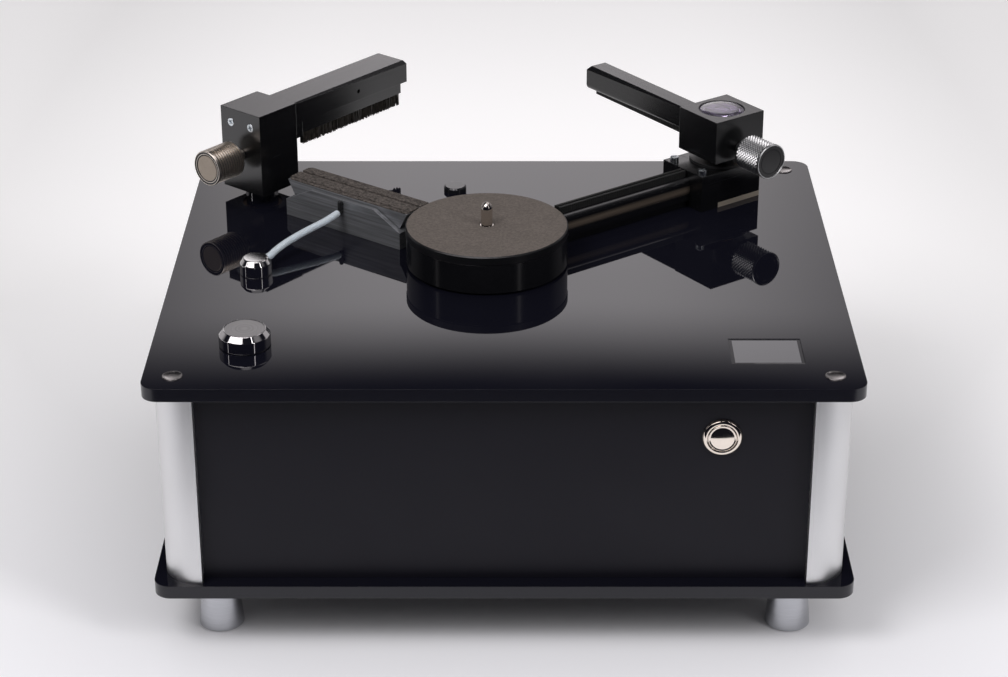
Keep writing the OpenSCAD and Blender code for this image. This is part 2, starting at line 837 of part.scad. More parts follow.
module brush_cradle() {
    back = carrier_back - 1;
    color("#3c3e46") centred() toward_left() difference() {
        translate([cradle_in, cradle_front, 0]) rotate([90, 0, 0]) linear_extrude(cradle_front - back)
            cradle_outline(cradle_l, cradle_mid_l, cradle_end_h, cradle_h);
        translate([0, back - 1, carrier_seat - 0.1])
            cube([200, cradle_front - cheek_t - back + 1, cradle_h]);
        translate([elbow_s, cradle_front - cheek_t - 1, nipple_z]) rotate([-90, 0, 0])
            cylinder(d = elbow_leg_d + 0.2, h = cheek_t + 2);
    }
}

module felt_carrier() {
    h = carrier_top - carrier_seat;
    groove_y = carrier_back + felt_narrow + 0.4;
    color("#33333a") centred() toward_left() difference() {
        translate([platter_r + hub_gap, carrier_back + carrier_w, carrier_seat]) rotate([90, 0, 0])
            linear_extrude(carrier_w) polygon([
                [carrier_slope, 0], [carrier_l - carrier_slope, 0], [carrier_l, h], [0, h]
            ]);
        translate([0, groove_y, carrier_top - 2]) cube([200, 1.2, 3]);
    }
}

module felt_strips() {
    base = [platter_r + hub_gap, 0, carrier_top];
    l = carrier_l - 0.4;
    w = felt_wide;
    color("#6b635c") centred() toward_left() translate(base) {
        translate([0.2, carrier_back + 0.1, 0]) linear_extrude(felt_t)
            polygon([[0, 0], [l - 2, 0], [l, 2], [l, felt_narrow], [0, felt_narrow]]);
        translate([0.2, carrier_back + carrier_w - 0.1 - w, 0]) linear_extrude(felt_t)
            polygon([[0, 0], [l, 0], [l, w - 3], [l - 3, w], [3, w], [0, w - 3]]);
    }
}

module right_block() {
    color("#17171a") centred() on_right_post() difference() {
        tower_block(right_block_l, right_block_w, right_block_z, right_top, right_ceiling, right_knob_z);
        translate([0, 0, right_top - level_depth]) cylinder(d = level_d + 2*seat_gap, h = level_depth + 1);
    }
}

level_depth = 6;
level_crown = 0.8;

module level_lens() {
    r = level_d/2;
    ball = (r*r + level_crown*level_crown)/(2*level_crown);
    color("#b9a8d8") centred() on_right_post() translate([0, 0, right_top - level_depth]) {
        cylinder(d = level_d, h = level_depth - 0.4);
        translate([0, 0, level_depth - 0.4]) intersection() {
            translate([0, 0, level_crown - ball]) sphere(ball, $fn = 200);
            cylinder(d = level_d, h = level_crown);
        }
    }
}

bar_shoulder = 4;
bar_duct_d = 5.5;
end_wall = 4;

// One side of a suction bar's section, with its top at zero and the other side left long
module bar_side() {
    long = 2*suction_w;
    foot = suction_w/2 - bar_shoulder;
    translate([-long, bar_shoulder - suction_h]) square([long + suction_w/2, suction_h - bar_shoulder]);
    translate([-long, -suction_h]) square([long + foot, suction_h]);
    translate([foot, bar_shoulder - suction_h]) circle(bar_shoulder);
}

// Bar along X with rounded shoulders below, a duct inside and the suction slot in its underside
module suction_bar(l, flare) {
    difference() {
        intersection() {
            run_along_x(l) mirror([1, 0]) bar_side();
            rotate([0, 0, atan2(flare, l)]) translate([-5, 0, 0]) run_along_x(l + 10) bar_side();
        }
        translate([0, suction_w/2, 0]) mirror([0, 1, 0]) bevel_cut(l, arm_bevel, 20);
        translate([0, -suction_w/2, 0]) bevel_cut(l, arm_bevel/2, 45);
        translate([-1, 0, -suction_h/2]) rotate([0, 90, 0]) cylinder(d = bar_duct_d, h = l - end_wall + 1);
        translate([-1, -slot_w/2, -suction_h - 1]) cube([l - end_wall + 1, slot_w, suction_h/2]);
    }
}

module lip_pair(l) {
    for (y = [-1, 1]) translate([0, y*(slot_w + lip_t)/2, 0])
        translate([0, -lip_t/2, -lip_h]) cube([l, lip_t, lip_h]);
}

suction_y = right_block_w/2 - suction_w/2;

module suction_arm() {
    color("#26262a") centred() on_right_post() translate([right_block_l/2, suction_y, right_top])
        suction_bar(right_reach - right_block_l/2, right_flare);
}

module suction_lips() {
    color("#111111") centred() on_right_post()
        translate([right_block_l/2 + 1, suction_y, right_top - suction_h])
            lip_pair(right_reach - right_block_l/2 - 3);
}

tower_in = right_dist - base_block_l/2;

module tower_slab(low, high) {
    toward_right() translate([tower_in, 0, low]) difference() {
        translate([0, -base_block_w/2, 0]) cube([base_block_l, base_block_w, high - low]);
        translate([base_block_l/2, 0, -1]) cylinder(d = arm_post_d + 2*run_gap, h = high - low + 2);
    }
}

module tower_shim() {
    color("#8f8a84") centred() tower_slab(0, shim_t);
}

module base_block() {
    color("#131316") centred() tower_slab(shim_t, base_block_h);
}

turn_ring_d = 40;
turn_ring_t = 1.5;

module turn_ring() {
    color("#2c2c30") centred() toward_right() translate([right_dist, 0, base_block_h])
        ring(turn_ring_d, arm_post_d + 2*run_gap, turn_ring_t);
}

bracket_screw_pitch = 28;
bracket_screw_mid = -1.5;
bracket_screw_head = 5.4;
bracket_screw_h = 3.6;
bracket_in = tower_in - bracket_l;

module bracket_screw_places() {
    for (y = [-1, 1])
        translate([bracket_in + 3.4, bracket_screw_mid + y*bracket_screw_pitch/2, base_block_h]) children();
}

module bar_bracket() {
    color("#131316") centred() toward_right() difference() {
        translate([bracket_in, -base_block_w/2, 0]) cube([bracket_l, base_block_w, base_block_h]);
        bracket_screw_places() translate([0, 0, -14]) cylinder(d = block_screw_d + 2*run_gap, h = 15);
    }
}

module bracket_screws() {
    color("#d8d8d4") centred() toward_right() bracket_screw_places() {
        difference() {
            cylinder(d = bracket_screw_head, h = bracket_screw_h);
            translate([-5, -0.4, bracket_screw_h - 1]) cube([10, 0.8, 2]);
        }
        translate([0, 0, -12]) cylinder(d = block_screw_d, h = 12);
    }
}

bar_in = platter_r + hub_gap;

module lower_bar() {
    color("#26262a") centred() toward_right() translate([bracket_in, lower_bar_y, lower_lip_top - lip_h])
        rotate([0, 180, 0]) translate([0, 0, suction_h]) suction_bar(bracket_in - bar_in, 0);
}

module lower_lips() {
    color("#111111") centred() toward_right() translate([bracket_in - 1, lower_bar_y, lower_lip_top - lip_h])
        rotate([0, 180, 0]) lip_pair(bracket_in - bar_in - 3);
}

window_t = 2;
window_lip = 2;
module_t = 10;
board_z = bay_top - module_t - 4;
board_w = 84;
board_d = 44;

module display_window() {
    size = [display_w + 2*window_lip - seat_gap, display_d + 2*window_lip - seat_gap];
    color("#8890a0") centred() translate([display_x, display_y, plate_top - 0.3 - window_t])
        linear_extrude(window_t) square(size, center = true);
}

module display_module() {
    color("#808488") centred() translate([display_x, display_y, 0]) {
        translate([0, 0, bay_top - module_t]) linear_extrude(module_t)
            square([display_w + 16, display_d + 8], center = true);
        translate([0, 0, bay_top]) linear_extrude(plate_t - window_t - 1.5)
            square([display_w - 1, display_d - 1], center = true);
    }
}

module control_board() {
    color("#1f5c33") centred() translate([display_x - 8, display_y, 0]) {
        translate([0, 0, board_z]) linear_extrude(1.6) square([board_w, board_d], center = true);
        for (x = [-1, 1], y = [-1, 1]) translate([x*(board_w/2 - 4), y*(board_d/2 - 3), board_z])
            cylinder(d = 5, h = bay_top - board_z);
        translate([8, 0, board_z + 1.6]) linear_extrude(bay_top - module_t - board_z - 1.6)
            square([30, 16], center = true);
    }
}

module dial() {
    color("#c9c9cc") centred() translate([dial_x, dial_y, plate_top + dial_gap]) {
        rotate_extrude($fn = 96) polygon([
            [0, 0], [dial_d/2, 0], [dial_d/2, dial_h - dial_chamfer], [dial_top_d/2, dial_h], [0, dial_h]
        ]);
        translate([0, 0, -plate_t - dial_gap - 3]) cylinder(d = dial_shaft_d, h = plate_t + dial_gap + 3.5);
    }
}

module dial_encoder() {
    color("#3a5a40") centred() translate([dial_x, dial_y, 0]) difference() {
        union() {
            translate([0, 0, bay_top - 9]) linear_extrude(9) rounded_rect(18, 18, 2);
            translate([0, 0, bay_top - 11]) linear_extrude(2) rounded_rect(30, 24, 1);
        }
        translate([0, 0, bay_top - 4]) cylinder(d = dial_shaft_d + 2*run_gap, h = 5);
    }
}

bezel_t = 2;
barrel_l = 24;
button_travel = 2;

module along_y(y) {
    translate([button_x, y, button_z]) rotate([-90, 0, 0]) children();
}

module button_body() {
    color("silver") centred() difference() {
        union() {
            along_y(front_face - bezel_t) cylinder(d1 = bezel_d - 1.2, d2 = bezel_d, h = bezel_t);
            along_y(front_face) cylinder(d = barrel_d, h = barrel_l);
        }
        along_y(front_face - bezel_t - 1) cylinder(d = cap_d + 2*run_gap, h = 7 + button_travel);
    }
}

module button_cap() {
    color("#d9d9dc") centred() along_y(front_face - bezel_t - 0.3) cylinder(d = cap_d, h = 6);
}

module button_nut() {
    color("gray") centred() along_y(front_face + panel_t) difference() {
        cylinder(d = 25, h = 3.5, $fn = 6);
        translate([0, 0, -1]) cylinder(d = barrel_d + 2*run_gap, h = 6);
    }
}

turret_stem_d = 11;
turret_chamfer = 3.2;

module fluid_turret() {
    top_r = turret_d/2 - 2.2;
    color("#d6d8dc") centred() translate([turret_mid_x, turret_y, plate_top]) {
        rotate_extrude($fn = 96) polygon([
            [0, 0], [turret_d/2, 0], [turret_d/2, turret_h - turret_chamfer], [top_r, turret_h], [0, turret_h]
        ]);
        translate([0, 0, -plate_t - 16]) cylinder(d = turret_stem_d, h = plate_t + 16);
        translate([0, 0, -plate_t - 6]) cylinder(d = 20, h = 6, $fn = 6);
    }
    color("#d6d8dc") centred() translate([0, 0, plate_top]) hose_barb(0, 3, 3);
}

module fluid_hose() {
    first = hose_path[0] - tangent_at(hose_path, 0);
    last = hose_path[len(hose_path) - 1] + tangent_at(hose_path, len(hose_path) - 1);
    color("#c4d4e8") centred() translate([0, 0, plate_top]) difference() {
        swept_tube(hose_path, hose_d/2, 12);
        swept_tube([first, each hose_path, last], hose_bore/2, 12);
    }
}

// Barb in an end of the hose, from a distance inside it to a distance outside
module hose_barb(i, inside, outside) {
    way = tangent_at(hose_path, i)*(i == 0 ? 1 : -1);
    translate(hose_path[i] - way*outside)
        rotate([0, acos(way[2]), atan2(way[1], way[0])]) cylinder(d = barb_d, h = outside + inside);
}

module hose_elbow() {
    color("#101010") centred() toward_left() translate([elbow_s, elbow_y, 0]) {
        translate([0, 0, elbow_low]) sphere(d = elbow_ball_d);
        translate([0, 0, elbow_low]) cylinder(d = elbow_leg_d, h = elbow_top - elbow_leg_d/2 - elbow_low);
        translate([0, 0, elbow_top - elbow_leg_d/2]) sphere(d = elbow_leg_d);
        translate([0, 0, nipple_z]) rotate([90, 0, 0])
            cylinder(d = elbow_leg_d, h = elbow_y - cradle_front + cheek_t);
    }
    color("#101010") centred() translate([0, 0, plate_top]) hose_barb(len(hose_path) - 1, 3, 2.6);
}

filler_neck_d = 11;
filler_bore = 5.4;
filler_bevel = 0.9;
tank_wall = 2.5;
tank_top = bay_z + 74;
tank_w = 112;
tank_d = 72;
tank_gap = 8.5;
inlet_depth = 22;
tank_x = filler_x - 42;
tank_y = rear_face - inlet_depth - tank_gap - tank_d/2;

module filler_cap() {
    color("#151517") centred() translate([filler_x, filler_mid_y, 0]) {
        translate([0, 0, plate_top]) cylinder(d = filler_d, h = filler_h - filler_bevel);
        translate([0, 0, plate_top + filler_h - filler_bevel])
            cylinder(d1 = filler_d, d2 = filler_d - 2*filler_bevel, h = filler_bevel);
        translate([0, 0, bay_top - 4]) cylinder(d = filler_bore - 2*run_gap, h = plate_t + 4);
    }
}

module tank_shell(x, y) {
    difference() {
        translate([x, y, bay_z]) linear_extrude(tank_top - bay_z) rounded_rect(tank_w, tank_d, 8);
        translate([x, y, bay_z + tank_wall]) linear_extrude(tank_top - bay_z - 2*tank_wall)
            rounded_rect(tank_w - 2*tank_wall, tank_d - 2*tank_wall, 8 - tank_wall);
    }
}

module fluid_tank() {
    color("#d8dcd8") centred() difference() {
        union() {
            tank_shell(tank_x, tank_y);
            translate([filler_x, filler_mid_y, tank_top - 1])
                cylinder(d = filler_neck_d, h = plate_top - tank_top + 1);
        }
        translate([filler_x, filler_mid_y, tank_top - tank_wall - 1])
            cylinder(d = filler_bore, h = plate_top);
    }
}

waste_offset = 62;
waste_x = right_mid_x - waste_offset;
neck_offset = 30;

module waste_tank() {
    tank_rear = tank_y + tank_d/2;
    color("#d8dcd8") centred() {
        difference() {
            union() {
                tank_shell(waste_x, tank_y);
                translate([drain_x, tank_rear - 1, drain_z]) rotate([-90, 0, 0]) {
                    cylinder(d = drain_d, h = rear_face + 3 - tank_rear);
                    cylinder(d = spout_d, h = rear_face + 3 + spout_l - tank_rear);
                }
            }
            translate([drain_x, tank_rear - 2*tank_wall, drain_z]) rotate([-90, 0, 0])
                cylinder(d = spout_bore, h = rear_face + spout_l + 2*tank_wall + 3 - tank_rear);
        }
        for (x = [-1, 1]) translate([waste_x + x*neck_offset, tank_y, tank_top]) ring(10, 6, 14);
    }
}

turbine_x = side_wall - 99;
turbine_y = -48;
turbine_d = 96;
turbine_base_h = 34;
turbine_head_h = 46;
duct_d = 18;
duct_l = 22;

module vacuum_turbine() {
    color("#4a4c50") centred() translate([turbine_x, turbine_y, bay_z]) {
        cylinder(d = turbine_d, h = turbine_base_h);
        translate([0, 0, turbine_base_h]) cylinder(d = turbine_d - 26, h = turbine_head_h);
        translate([0, turbine_d/2 - 6, turbine_base_h/2 - 1]) rotate([-90, 0, 0])
            cylinder(d = duct_d, h = duct_l);
    }
}

pump_x = -side_wall + 59;
pump_y = -22;
pump_w = 48;
pump_d = 36;
pump_h = 34;
pump_motor_d = 28;
pump_motor_l = 40;
port_d = 6;
port_h = 10;
port_offset = 9;

module fluid_pump() {
    color("#606468") centred() translate([pump_x, pump_y, bay_z]) {
        translate([-pump_w/2, -pump_d/2, 0]) cube([pump_w, pump_d, pump_h]);
        translate([pump_w/2, 0, pump_h/2]) rotate([0, 90, 0]) cylinder(d = pump_motor_d, h = pump_motor_l);
        for (y = [-1, 1]) translate([-pump_w/4, y*port_offset, pump_h]) cylinder(d = port_d, h = port_h);
    }
}

supply_w = 104;
supply_d = 62;
supply_h = 38;
supply_gap = 2;
supply_front = 9.5;

module power_supply() {
    color("#9a9c9e") centred()
        translate([-post_wall_x + supply_gap, front_face + panel_t + supply_front, bay_z])
            cube([supply_w, supply_d, supply_h]);
}

inlet_flange = 3;
pin_pitch = 7;
pin_l = 14;
pin_root = 3;

// Three-pin mains inlet: a flanged body with its socket open to the rear
module mains_inlet() {
    color("#101010") centred() translate([inlet_x, rear_face, inlet_z]) {
        difference() {
            union() {
                translate([-inlet_w/2 - 11, 0, -inlet_h/2 - 2])
                    cube([inlet_w + 22, inlet_flange, inlet_h + 4]);
                translate([-inlet_w/2, -inlet_depth, -inlet_h/2]) cube([inlet_w, inlet_depth, inlet_h]);
            }
            translate([0, inlet_flange + 1, 0]) rotate([90, 0, 0]) linear_extrude(inlet_flange + pin_l + 4)
                polygon([[-12, -8.2], [12, -8.2], [12, 4.6], [8.4, 8.2], [-8.4, 8.2], [-12, 4.6]]);
        }
        for (x = [-1, 0, 1]) translate([x*pin_pitch - 1, -pin_l - pin_root - 1, x == 0 ? 0.5 : -3.5])
            cube([2, pin_l + pin_root, 4]);
    }
}

bottom_plate();
top_plate();
corner_posts();
front_panel();
rear_panel();
side_panels();
feet();
foot_pads();
plate_screws();
platter_body();
platter_pad();
spindle_shaft();
bearing_housing();
platter_pulley();
drive_motor();
motor_pulley();
drive_belt();
post_sockets();
arm_posts();
left_bush();
left_block();
left_block_screws();
left_clamp_knob();
brush_arm();
brush_holder();
bristles();
brush_cradle();
felt_carrier();
felt_strips();
right_bush();
right_block();
level_lens();
right_clamp_knob();
suction_arm();
suction_lips();
tower_shim();
base_block();
turn_ring();
bar_bracket();
bracket_screws();
lower_bar();
lower_lips();
display_window();
display_module();
control_board();
dial();
dial_encoder();
button_body();
button_cap();
button_nut();
fluid_turret();
fluid_hose();
hose_elbow();
filler_cap();
fluid_tank();
waste_tank();
fluid_pump();
vacuum_turbine();
power_supply();
mains_inlet();
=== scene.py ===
"""Looks of a record cleaning machine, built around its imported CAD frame. Metres, in the row frame."""

import json
import math
import random

import bmesh
import bpy
from mathutils import Matrix, Vector


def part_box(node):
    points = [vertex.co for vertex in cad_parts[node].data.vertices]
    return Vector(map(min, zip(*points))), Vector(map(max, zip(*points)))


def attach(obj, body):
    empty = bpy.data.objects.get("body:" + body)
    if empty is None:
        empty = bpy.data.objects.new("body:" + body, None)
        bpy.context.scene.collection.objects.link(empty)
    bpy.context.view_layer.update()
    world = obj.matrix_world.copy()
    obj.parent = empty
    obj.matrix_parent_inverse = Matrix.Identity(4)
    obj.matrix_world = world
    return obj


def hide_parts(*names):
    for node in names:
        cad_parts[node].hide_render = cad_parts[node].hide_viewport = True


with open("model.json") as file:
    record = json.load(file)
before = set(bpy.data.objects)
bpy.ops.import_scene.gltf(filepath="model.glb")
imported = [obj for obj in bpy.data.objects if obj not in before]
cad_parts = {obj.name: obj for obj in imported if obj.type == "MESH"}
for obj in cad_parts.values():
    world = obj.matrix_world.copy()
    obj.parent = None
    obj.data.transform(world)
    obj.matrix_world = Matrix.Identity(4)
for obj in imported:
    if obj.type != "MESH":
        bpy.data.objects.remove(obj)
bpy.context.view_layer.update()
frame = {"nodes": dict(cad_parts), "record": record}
nodes = frame["nodes"]

MM = 0.001
PLATE_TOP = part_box("top_plate")[1].z


def joint_place(name):
    """A joint's place at rest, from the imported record."""
    joints = frame["record"]["behaviour"]["joints"]
    return Vector(next(j["pos_m"] for j in joints if j["name"] == name))


def plan_frame(place, turn):
    """Local frame on the top plate, with its X along a direction in the plan."""
    return Matrix.Translation((place.x, place.y, PLATE_TOP)) @ Matrix.Rotation(math.radians(turn), 4, "Z")


def box_centre(node):
    """Middle of a node's box at rest."""
    low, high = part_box(node)
    return (low + high) / 2


# Directions of the two arms and the two lower bars in the plan, in degrees
LEFT_TURN = 50.5
RIGHT_TURN = 126.0
LEFT_BAR_TURN = 143.0
RIGHT_BAR_TURN = 36.56

ON_LEFT_POST = plan_frame(joint_place("left_arm_swing"), LEFT_TURN)
ON_RIGHT_POST = plan_frame(joint_place("right_arm_swing"), RIGHT_TURN)
ON_LEFT_BAR = plan_frame(joint_place("platter_spin"), LEFT_BAR_TURN)
ON_RIGHT_BAR = plan_frame(joint_place("platter_spin"), RIGHT_BAR_TURN)


# Camera

CAMERA_PLACE = (0.00539, -1.436599, 0.81134)
CAMERA_TILT = 64.17
CAMERA_LENS = 90.055
CAMERA_SHIFT = (-0.0095, -0.00727)


def make_camera():
    """The photograph's view, from the front and above."""
    data = bpy.data.cameras.new("camera")
    data.lens = CAMERA_LENS
    data.sensor_width = 36
    data.shift_x, data.shift_y = CAMERA_SHIFT
    camera = bpy.data.objects.new("camera", data)
    camera.location = CAMERA_PLACE
    camera.rotation_euler = (math.radians(CAMERA_TILT), 0, 0)
    bpy.context.scene.collection.objects.link(camera)
    bpy.context.scene.camera = camera


# Materials

class Finish:
    """A node material with one Principled shader, and the calls that give it its detail."""

    def __init__(self, name, colour, roughness, metallic=0.0, **sockets):
        self.material = bpy.data.materials.new(name)
        self.material.use_nodes = True
        self.nodes = self.material.node_tree.nodes
        self.links = self.material.node_tree.links
        self.shader = self.nodes["Principled BSDF"]
        self.normal = None
        self.set("Base Color", (*colour, 1))
        self.set("Roughness", roughness)
        self.set("Metallic", metallic)
        for socket, value in sockets.items():
            self.set(socket.replace("_", " "), value)

    def set(self, socket, value):
        self.shader.inputs[socket].default_value = value

    def add(self, kind, **inputs):
        """A new node, with values or links for its inputs."""
        node = self.nodes.new("ShaderNode" + kind)
        for socket, value in inputs.items():
            self.join(node, socket.replace("_", " "), value)
        return node

    def join(self, node, socket, value):
        if isinstance(value, bpy.types.NodeSocket):
            self.links.new(value, node.inputs[socket])
        else:
            node.inputs[socket].default_value = value

    def place(self, turn=0.0, scale=(1, 1, 1)):
        """Object coordinates, turned about Z in degrees and scaled."""
        coordinates = self.add("TexCoord")
        turned = self.add("Mapping", Vector=coordinates.outputs["Object"],
                          Rotation=(0, 0, math.radians(-turn)))
        return self.add("Mapping", Vector=turned.outputs["Vector"], Scale=scale).outputs["Vector"]

    def noise(self, vector, scale, detail=3.0, roughness=0.55):
        node = self.add("TexNoise", Vector=vector, Scale=scale, Detail=detail, Roughness=roughness)
        return node.outputs["Fac"]

    def ring_marks(self, centre, scale):
        """Noise that runs in rings about an upright axis."""
        coordinates = self.add("TexCoord")
        moved = self.add("Mapping", Vector=coordinates.outputs["Object"],
                         Location=(-centre.x, -centre.y, 0), Scale=(1, 1, 0))
        reach = self.add("VectorMath", Vector=moved.outputs["Vector"])
        reach.operation = "LENGTH"
        noise = self.nodes.new("ShaderNodeTexNoise")
        noise.noise_dimensions = "1D"
        self.join(noise, "W", reach.outputs["Value"])
        self.join(noise, "Scale", scale)
        self.join(noise, "Detail", 3.0)
        return noise.outputs["Fac"]

    def math(self, operation, a, b=0.0):
        """Arithmetic on two numbers or sockets."""
        node = self.add("Math")
        node.operation = operation
        for socket, value in zip(node.inputs, (a, b)):
            if isinstance(value, bpy.types.NodeSocket):
                self.links.new(value, socket)
            else:
                socket.default_value = value
        return node.outputs[0]

    def ramp(self, value, low, high, out_low, out_high):
        node = self.add("MapRange", Value=value)
        for socket, number in zip(("From Min", "From Max", "To Min", "To Max"),
                                  (low, high, out_low, out_high)):
            node.inputs[socket].default_value = number
        return node.outputs["Result"]

    def upward(self, low=0.8, high=0.95):
        """1 on faces that look up, 0 on the rest."""
        normal = self.add("TexCoord").outputs["Normal"]
        return self.ramp(self.add("SeparateXYZ", Vector=normal).outputs["Z"], low, high, 0, 1)

    def blend(self, factor, a, b):
        """Colour socket between two colours or sockets."""
        node = self.add("Mix")
        node.data_type = "RGBA"
        self.links.new(factor, node.inputs["Factor"])
        for index, value in ((6, a), (7, b)):
            if isinstance(value, bpy.types.NodeSocket):
                self.links.new(value, node.inputs[index])
            else:
                node.inputs[index].default_value = (*value, 1)
        return node.outputs[2]

    def tint(self, factor, dark, light):
        """Base colour between two by a factor from 0 to 1."""
        self.links.new(self.blend(factor, dark, light), self.shader.inputs["Base Color"])

    def feed(self, socket, value):
        self.links.new(value, self.shader.inputs[socket])

    def rough(self, value, smooth, dull):
        self.feed("Roughness", self.ramp(value, 0.3, 0.7, smooth, dull))

    def soft_edges(self, radius):
        """Edges catch light as if rounded by this radius."""
        node = self.add("Bevel", Radius=radius)
        node.samples = 6
        self.use_normal(node.outputs["Normal"])

    def bump(self, value, height, strength=1.0):
        node = self.add("Bump", Height=value, Distance=height, Strength=strength)
        if self.normal:
            self.links.new(self.normal, node.inputs["Normal"])
        self.use_normal(node.outputs["Normal"])

    def use_normal(self, output):
        self.normal = output
        self.feed("Normal", output)


def shade(colour, factor):
    return tuple(c * factor for c in colour)


def acrylic():
    """Black acrylic sheet: mirror-gloss faces with faint polishing haze, and duller sawn edges."""
    finish = Finish("gloss_black_acrylic", (0.005, 0.005, 0.009), 0.03, IOR=1.5)
    finish.soft_edges(0.45 * MM)
    haze = finish.ramp(finish.noise(finish.place(), 9.0), 0.3, 0.7, 0.015, 0.035)
    edge = finish.add("Mix", Factor=finish.upward(0.2, 0.6), B=haze)
    edge.inputs["A"].default_value = 0.2
    finish.feed("Roughness", edge.outputs["Result"])
    return finish.material


def panel():
    """Black satin panel with a fine moulded grain."""
    finish = Finish("panel_black", (0.0085, 0.008, 0.012), 0.4, IOR=1.3)
    finish.soft_edges(0.4 * MM)
    finish.rough(finish.noise(finish.place(), 14.0), 0.36, 0.46)
    finish.bump(finish.noise(finish.place(), 900.0, 2.0), 0.02 * MM, 0.4)
    return finish.material


def anodised(name, turn, roughness=0.25, colour=(0.004, 0.004, 0.0045), streak=0.1, ior=1.75):
    """Black anodised bar, brushed along its length: darker and lighter streaks in gloss and relief."""
    finish = Finish(name, colour, roughness, IOR=ior)
    finish.soft_edges(0.5 * MM)
    grain = finish.noise(finish.place(turn, (12, 900, 900)), 1.0, 5.0, 0.62)
    finish.tint(finish.ramp(grain, 0.35, 0.65, 0, 1), shade(colour, 0.8), shade(colour, 1.3))
    finish.rough(grain, roughness * (1 - streak), roughness * (1 + streak))
    finish.bump(grain, 0.005 * MM, 0.4)
    return finish.material


def satin_metal(name, colour, roughness, turn=0.0, along=(60, 1200, 1200), radius=0.3 * MM, deep=0.012 * MM,
                contrast=0.18, metallic=1.0):
    """Metal brushed along one direction: grain stretched along, in roughness, colour and relief."""
    finish = Finish(name, colour, roughness, metallic)
    if radius:
        finish.soft_edges(radius)
    grain = finish.noise(finish.place(turn, along), 1.0, 4.0, 0.65)
    finish.tint(finish.ramp(grain, 0.3, 0.7, 0, 1), shade(colour, 1 - contrast), colour)
    finish.rough(finish.noise(finish.place(), 16.0), roughness * 0.9, roughness * 1.1)
    finish.bump(grain, deep, 0.5)
    return finish.material


def blasted_metal(name, colour, roughness):
    """Bead-blasted, clear anodised aluminium: an even fine grain and a soft sheen."""
    finish = Finish(name, colour, roughness, 1.0)
    finish.soft_edges(0.4 * MM)
    finish.rough(finish.noise(finish.place(), 22.0), roughness * 0.94, roughness * 1.06)
    finish.bump(finish.noise(finish.place(), 2200.0, 2.0), 0.006 * MM, 0.4)
    return finish.material


def mirror_metal(name, colour, roughness, radius=0.25 * MM):
    """Plated or polished metal with faint smears."""
    finish = Finish(name, colour, roughness, 1.0)
    if radius:
        finish.soft_edges(radius)
    finish.rough(finish.noise(finish.place(), 55.0), roughness * 0.7, roughness * 1.5)
    return finish.material


def spun_metal(name, node, colour, top_roughness, side_roughness, painted_top_light_and_shade):
    """Polished sides, and a top turned in fine rings about the node's middle, its colour scaled by painted
    light and shade.
    """
    finish = Finish(name, colour, side_roughness, 1.0)
    rings = finish.ring_marks(box_centre(node), 1100.0)
    top = finish.upward(0.97, 0.99)
    # The top's colour is scaled against the side's as painted light and shade: darker on the dial, lighter on
    # the turret.
    marked = finish.blend(finish.ramp(rings, 0.35, 0.65, 0, 1), shade(colour, painted_top_light_and_shade * 0.75),
                          shade(colour, painted_top_light_and_shade))
    finish.feed("Base Color", finish.blend(top, colour, marked))
    rough = finish.add("Mix", Factor=top)
    rough.inputs["A"].default_value = side_roughness
    rough.inputs["B"].default_value = top_roughness
    finish.feed("Roughness", rough.outputs["Result"])
    finish.bump(rings, 0.01 * MM, 0.25)
    return finish.material


def matte(name, colour, roughness, grain_scale, height, spread=0.25, radius=0.3 * MM):
    """Dull plastic, rubber or felt with a fine grain."""
    finish = Finish(name, colour, roughness)
    if radius:
        finish.soft_edges(radius)
    grain = finish.noise(finish.place(), grain_scale, 5.0, 0.7)
    finish.tint(finish.ramp(grain, 0.3, 0.7, 0, 1), shade(colour, 1 - spread), shade(colour, 1 + spread))
    finish.bump(grain, height, 0.7)
    return finish.material


def pad():
    """Grey-brown foamed rubber, finely speckled and a little mottled on top, with its rim painted near black
    as painted shade.
    """
    finish = Finish("pad_grey", (0.117, 0.102, 0.093), 0.92)
    finish.soft_edges(0.3 * MM)
    speck = finish.noise(finish.place(), 700.0, 6.0, 0.8)
    cloud = finish.noise(finish.place(), 60.0, 4.0, 0.6)
    fine = finish.blend(finish.ramp(speck, 0.35, 0.65, 0, 1), (0.055, 0.046, 0.041), (0.175, 0.147, 0.132))
    soft = finish.blend(finish.ramp(cloud, 0.3, 0.7, 0, 1), (0.096, 0.081, 0.073), (0.13, 0.109, 0.098))
    mixed = finish.add("Mix", Factor=0.4)
    mixed.data_type = "RGBA"
    finish.links.new(fine, mixed.inputs[6])
    finish.links.new(soft, mixed.inputs[7])
    # Faces that do not look up get a near-black colour as painted shade.
    finish.feed("Base Color", finish.blend(finish.upward(0.75, 0.9), (0.006, 0.006, 0.007), mixed.outputs[2]))
    rough = finish.add("Mix", Factor=finish.upward(0.75, 0.9))
    rough.inputs["A"].default_value = 0.3
    rough.inputs["B"].default_value = 0.95
    finish.feed("Roughness", rough.outputs["Result"])
    finish.bump(speck, 0.12 * MM, 0.5)
    return finish.material


def felt():
    """Short grey-brown fibres: coarse light and dark specks over a rough relief."""
    finish = Finish("felt_grey", (0.08, 0.067, 0.06), 0.95)
    fibres = finish.noise(finish.place(LEFT_BAR_TURN, (0.8, 1.3, 1.3)), 620.0, 5.0, 0.75)
    finish.tint(finish.ramp(fibres, 0.36, 0.64, 0, 1), (0.012, 0.01, 0.009), (0.135, 0.114, 0.104))
    finish.bump(fibres, 0.5 * MM, 0.8)
    return finish.material


def clear_plastic(name, colour, roughness, clearness, ior):
    """Clear or milky plastic or glass with faint flow marks."""
    finish = Finish(name, colour, roughness, 0.0, Transmission_Weight=clearness, IOR=ior)
    finish.rough(finish.noise(finish.place(), 40.0), roughness * 0.8, roughness * 1.3)
    return finish.material


DISPLAY_GREY = (0.15, 0.145, 0.155)
DISPLAY_BORDER = (1.9, 1.7)


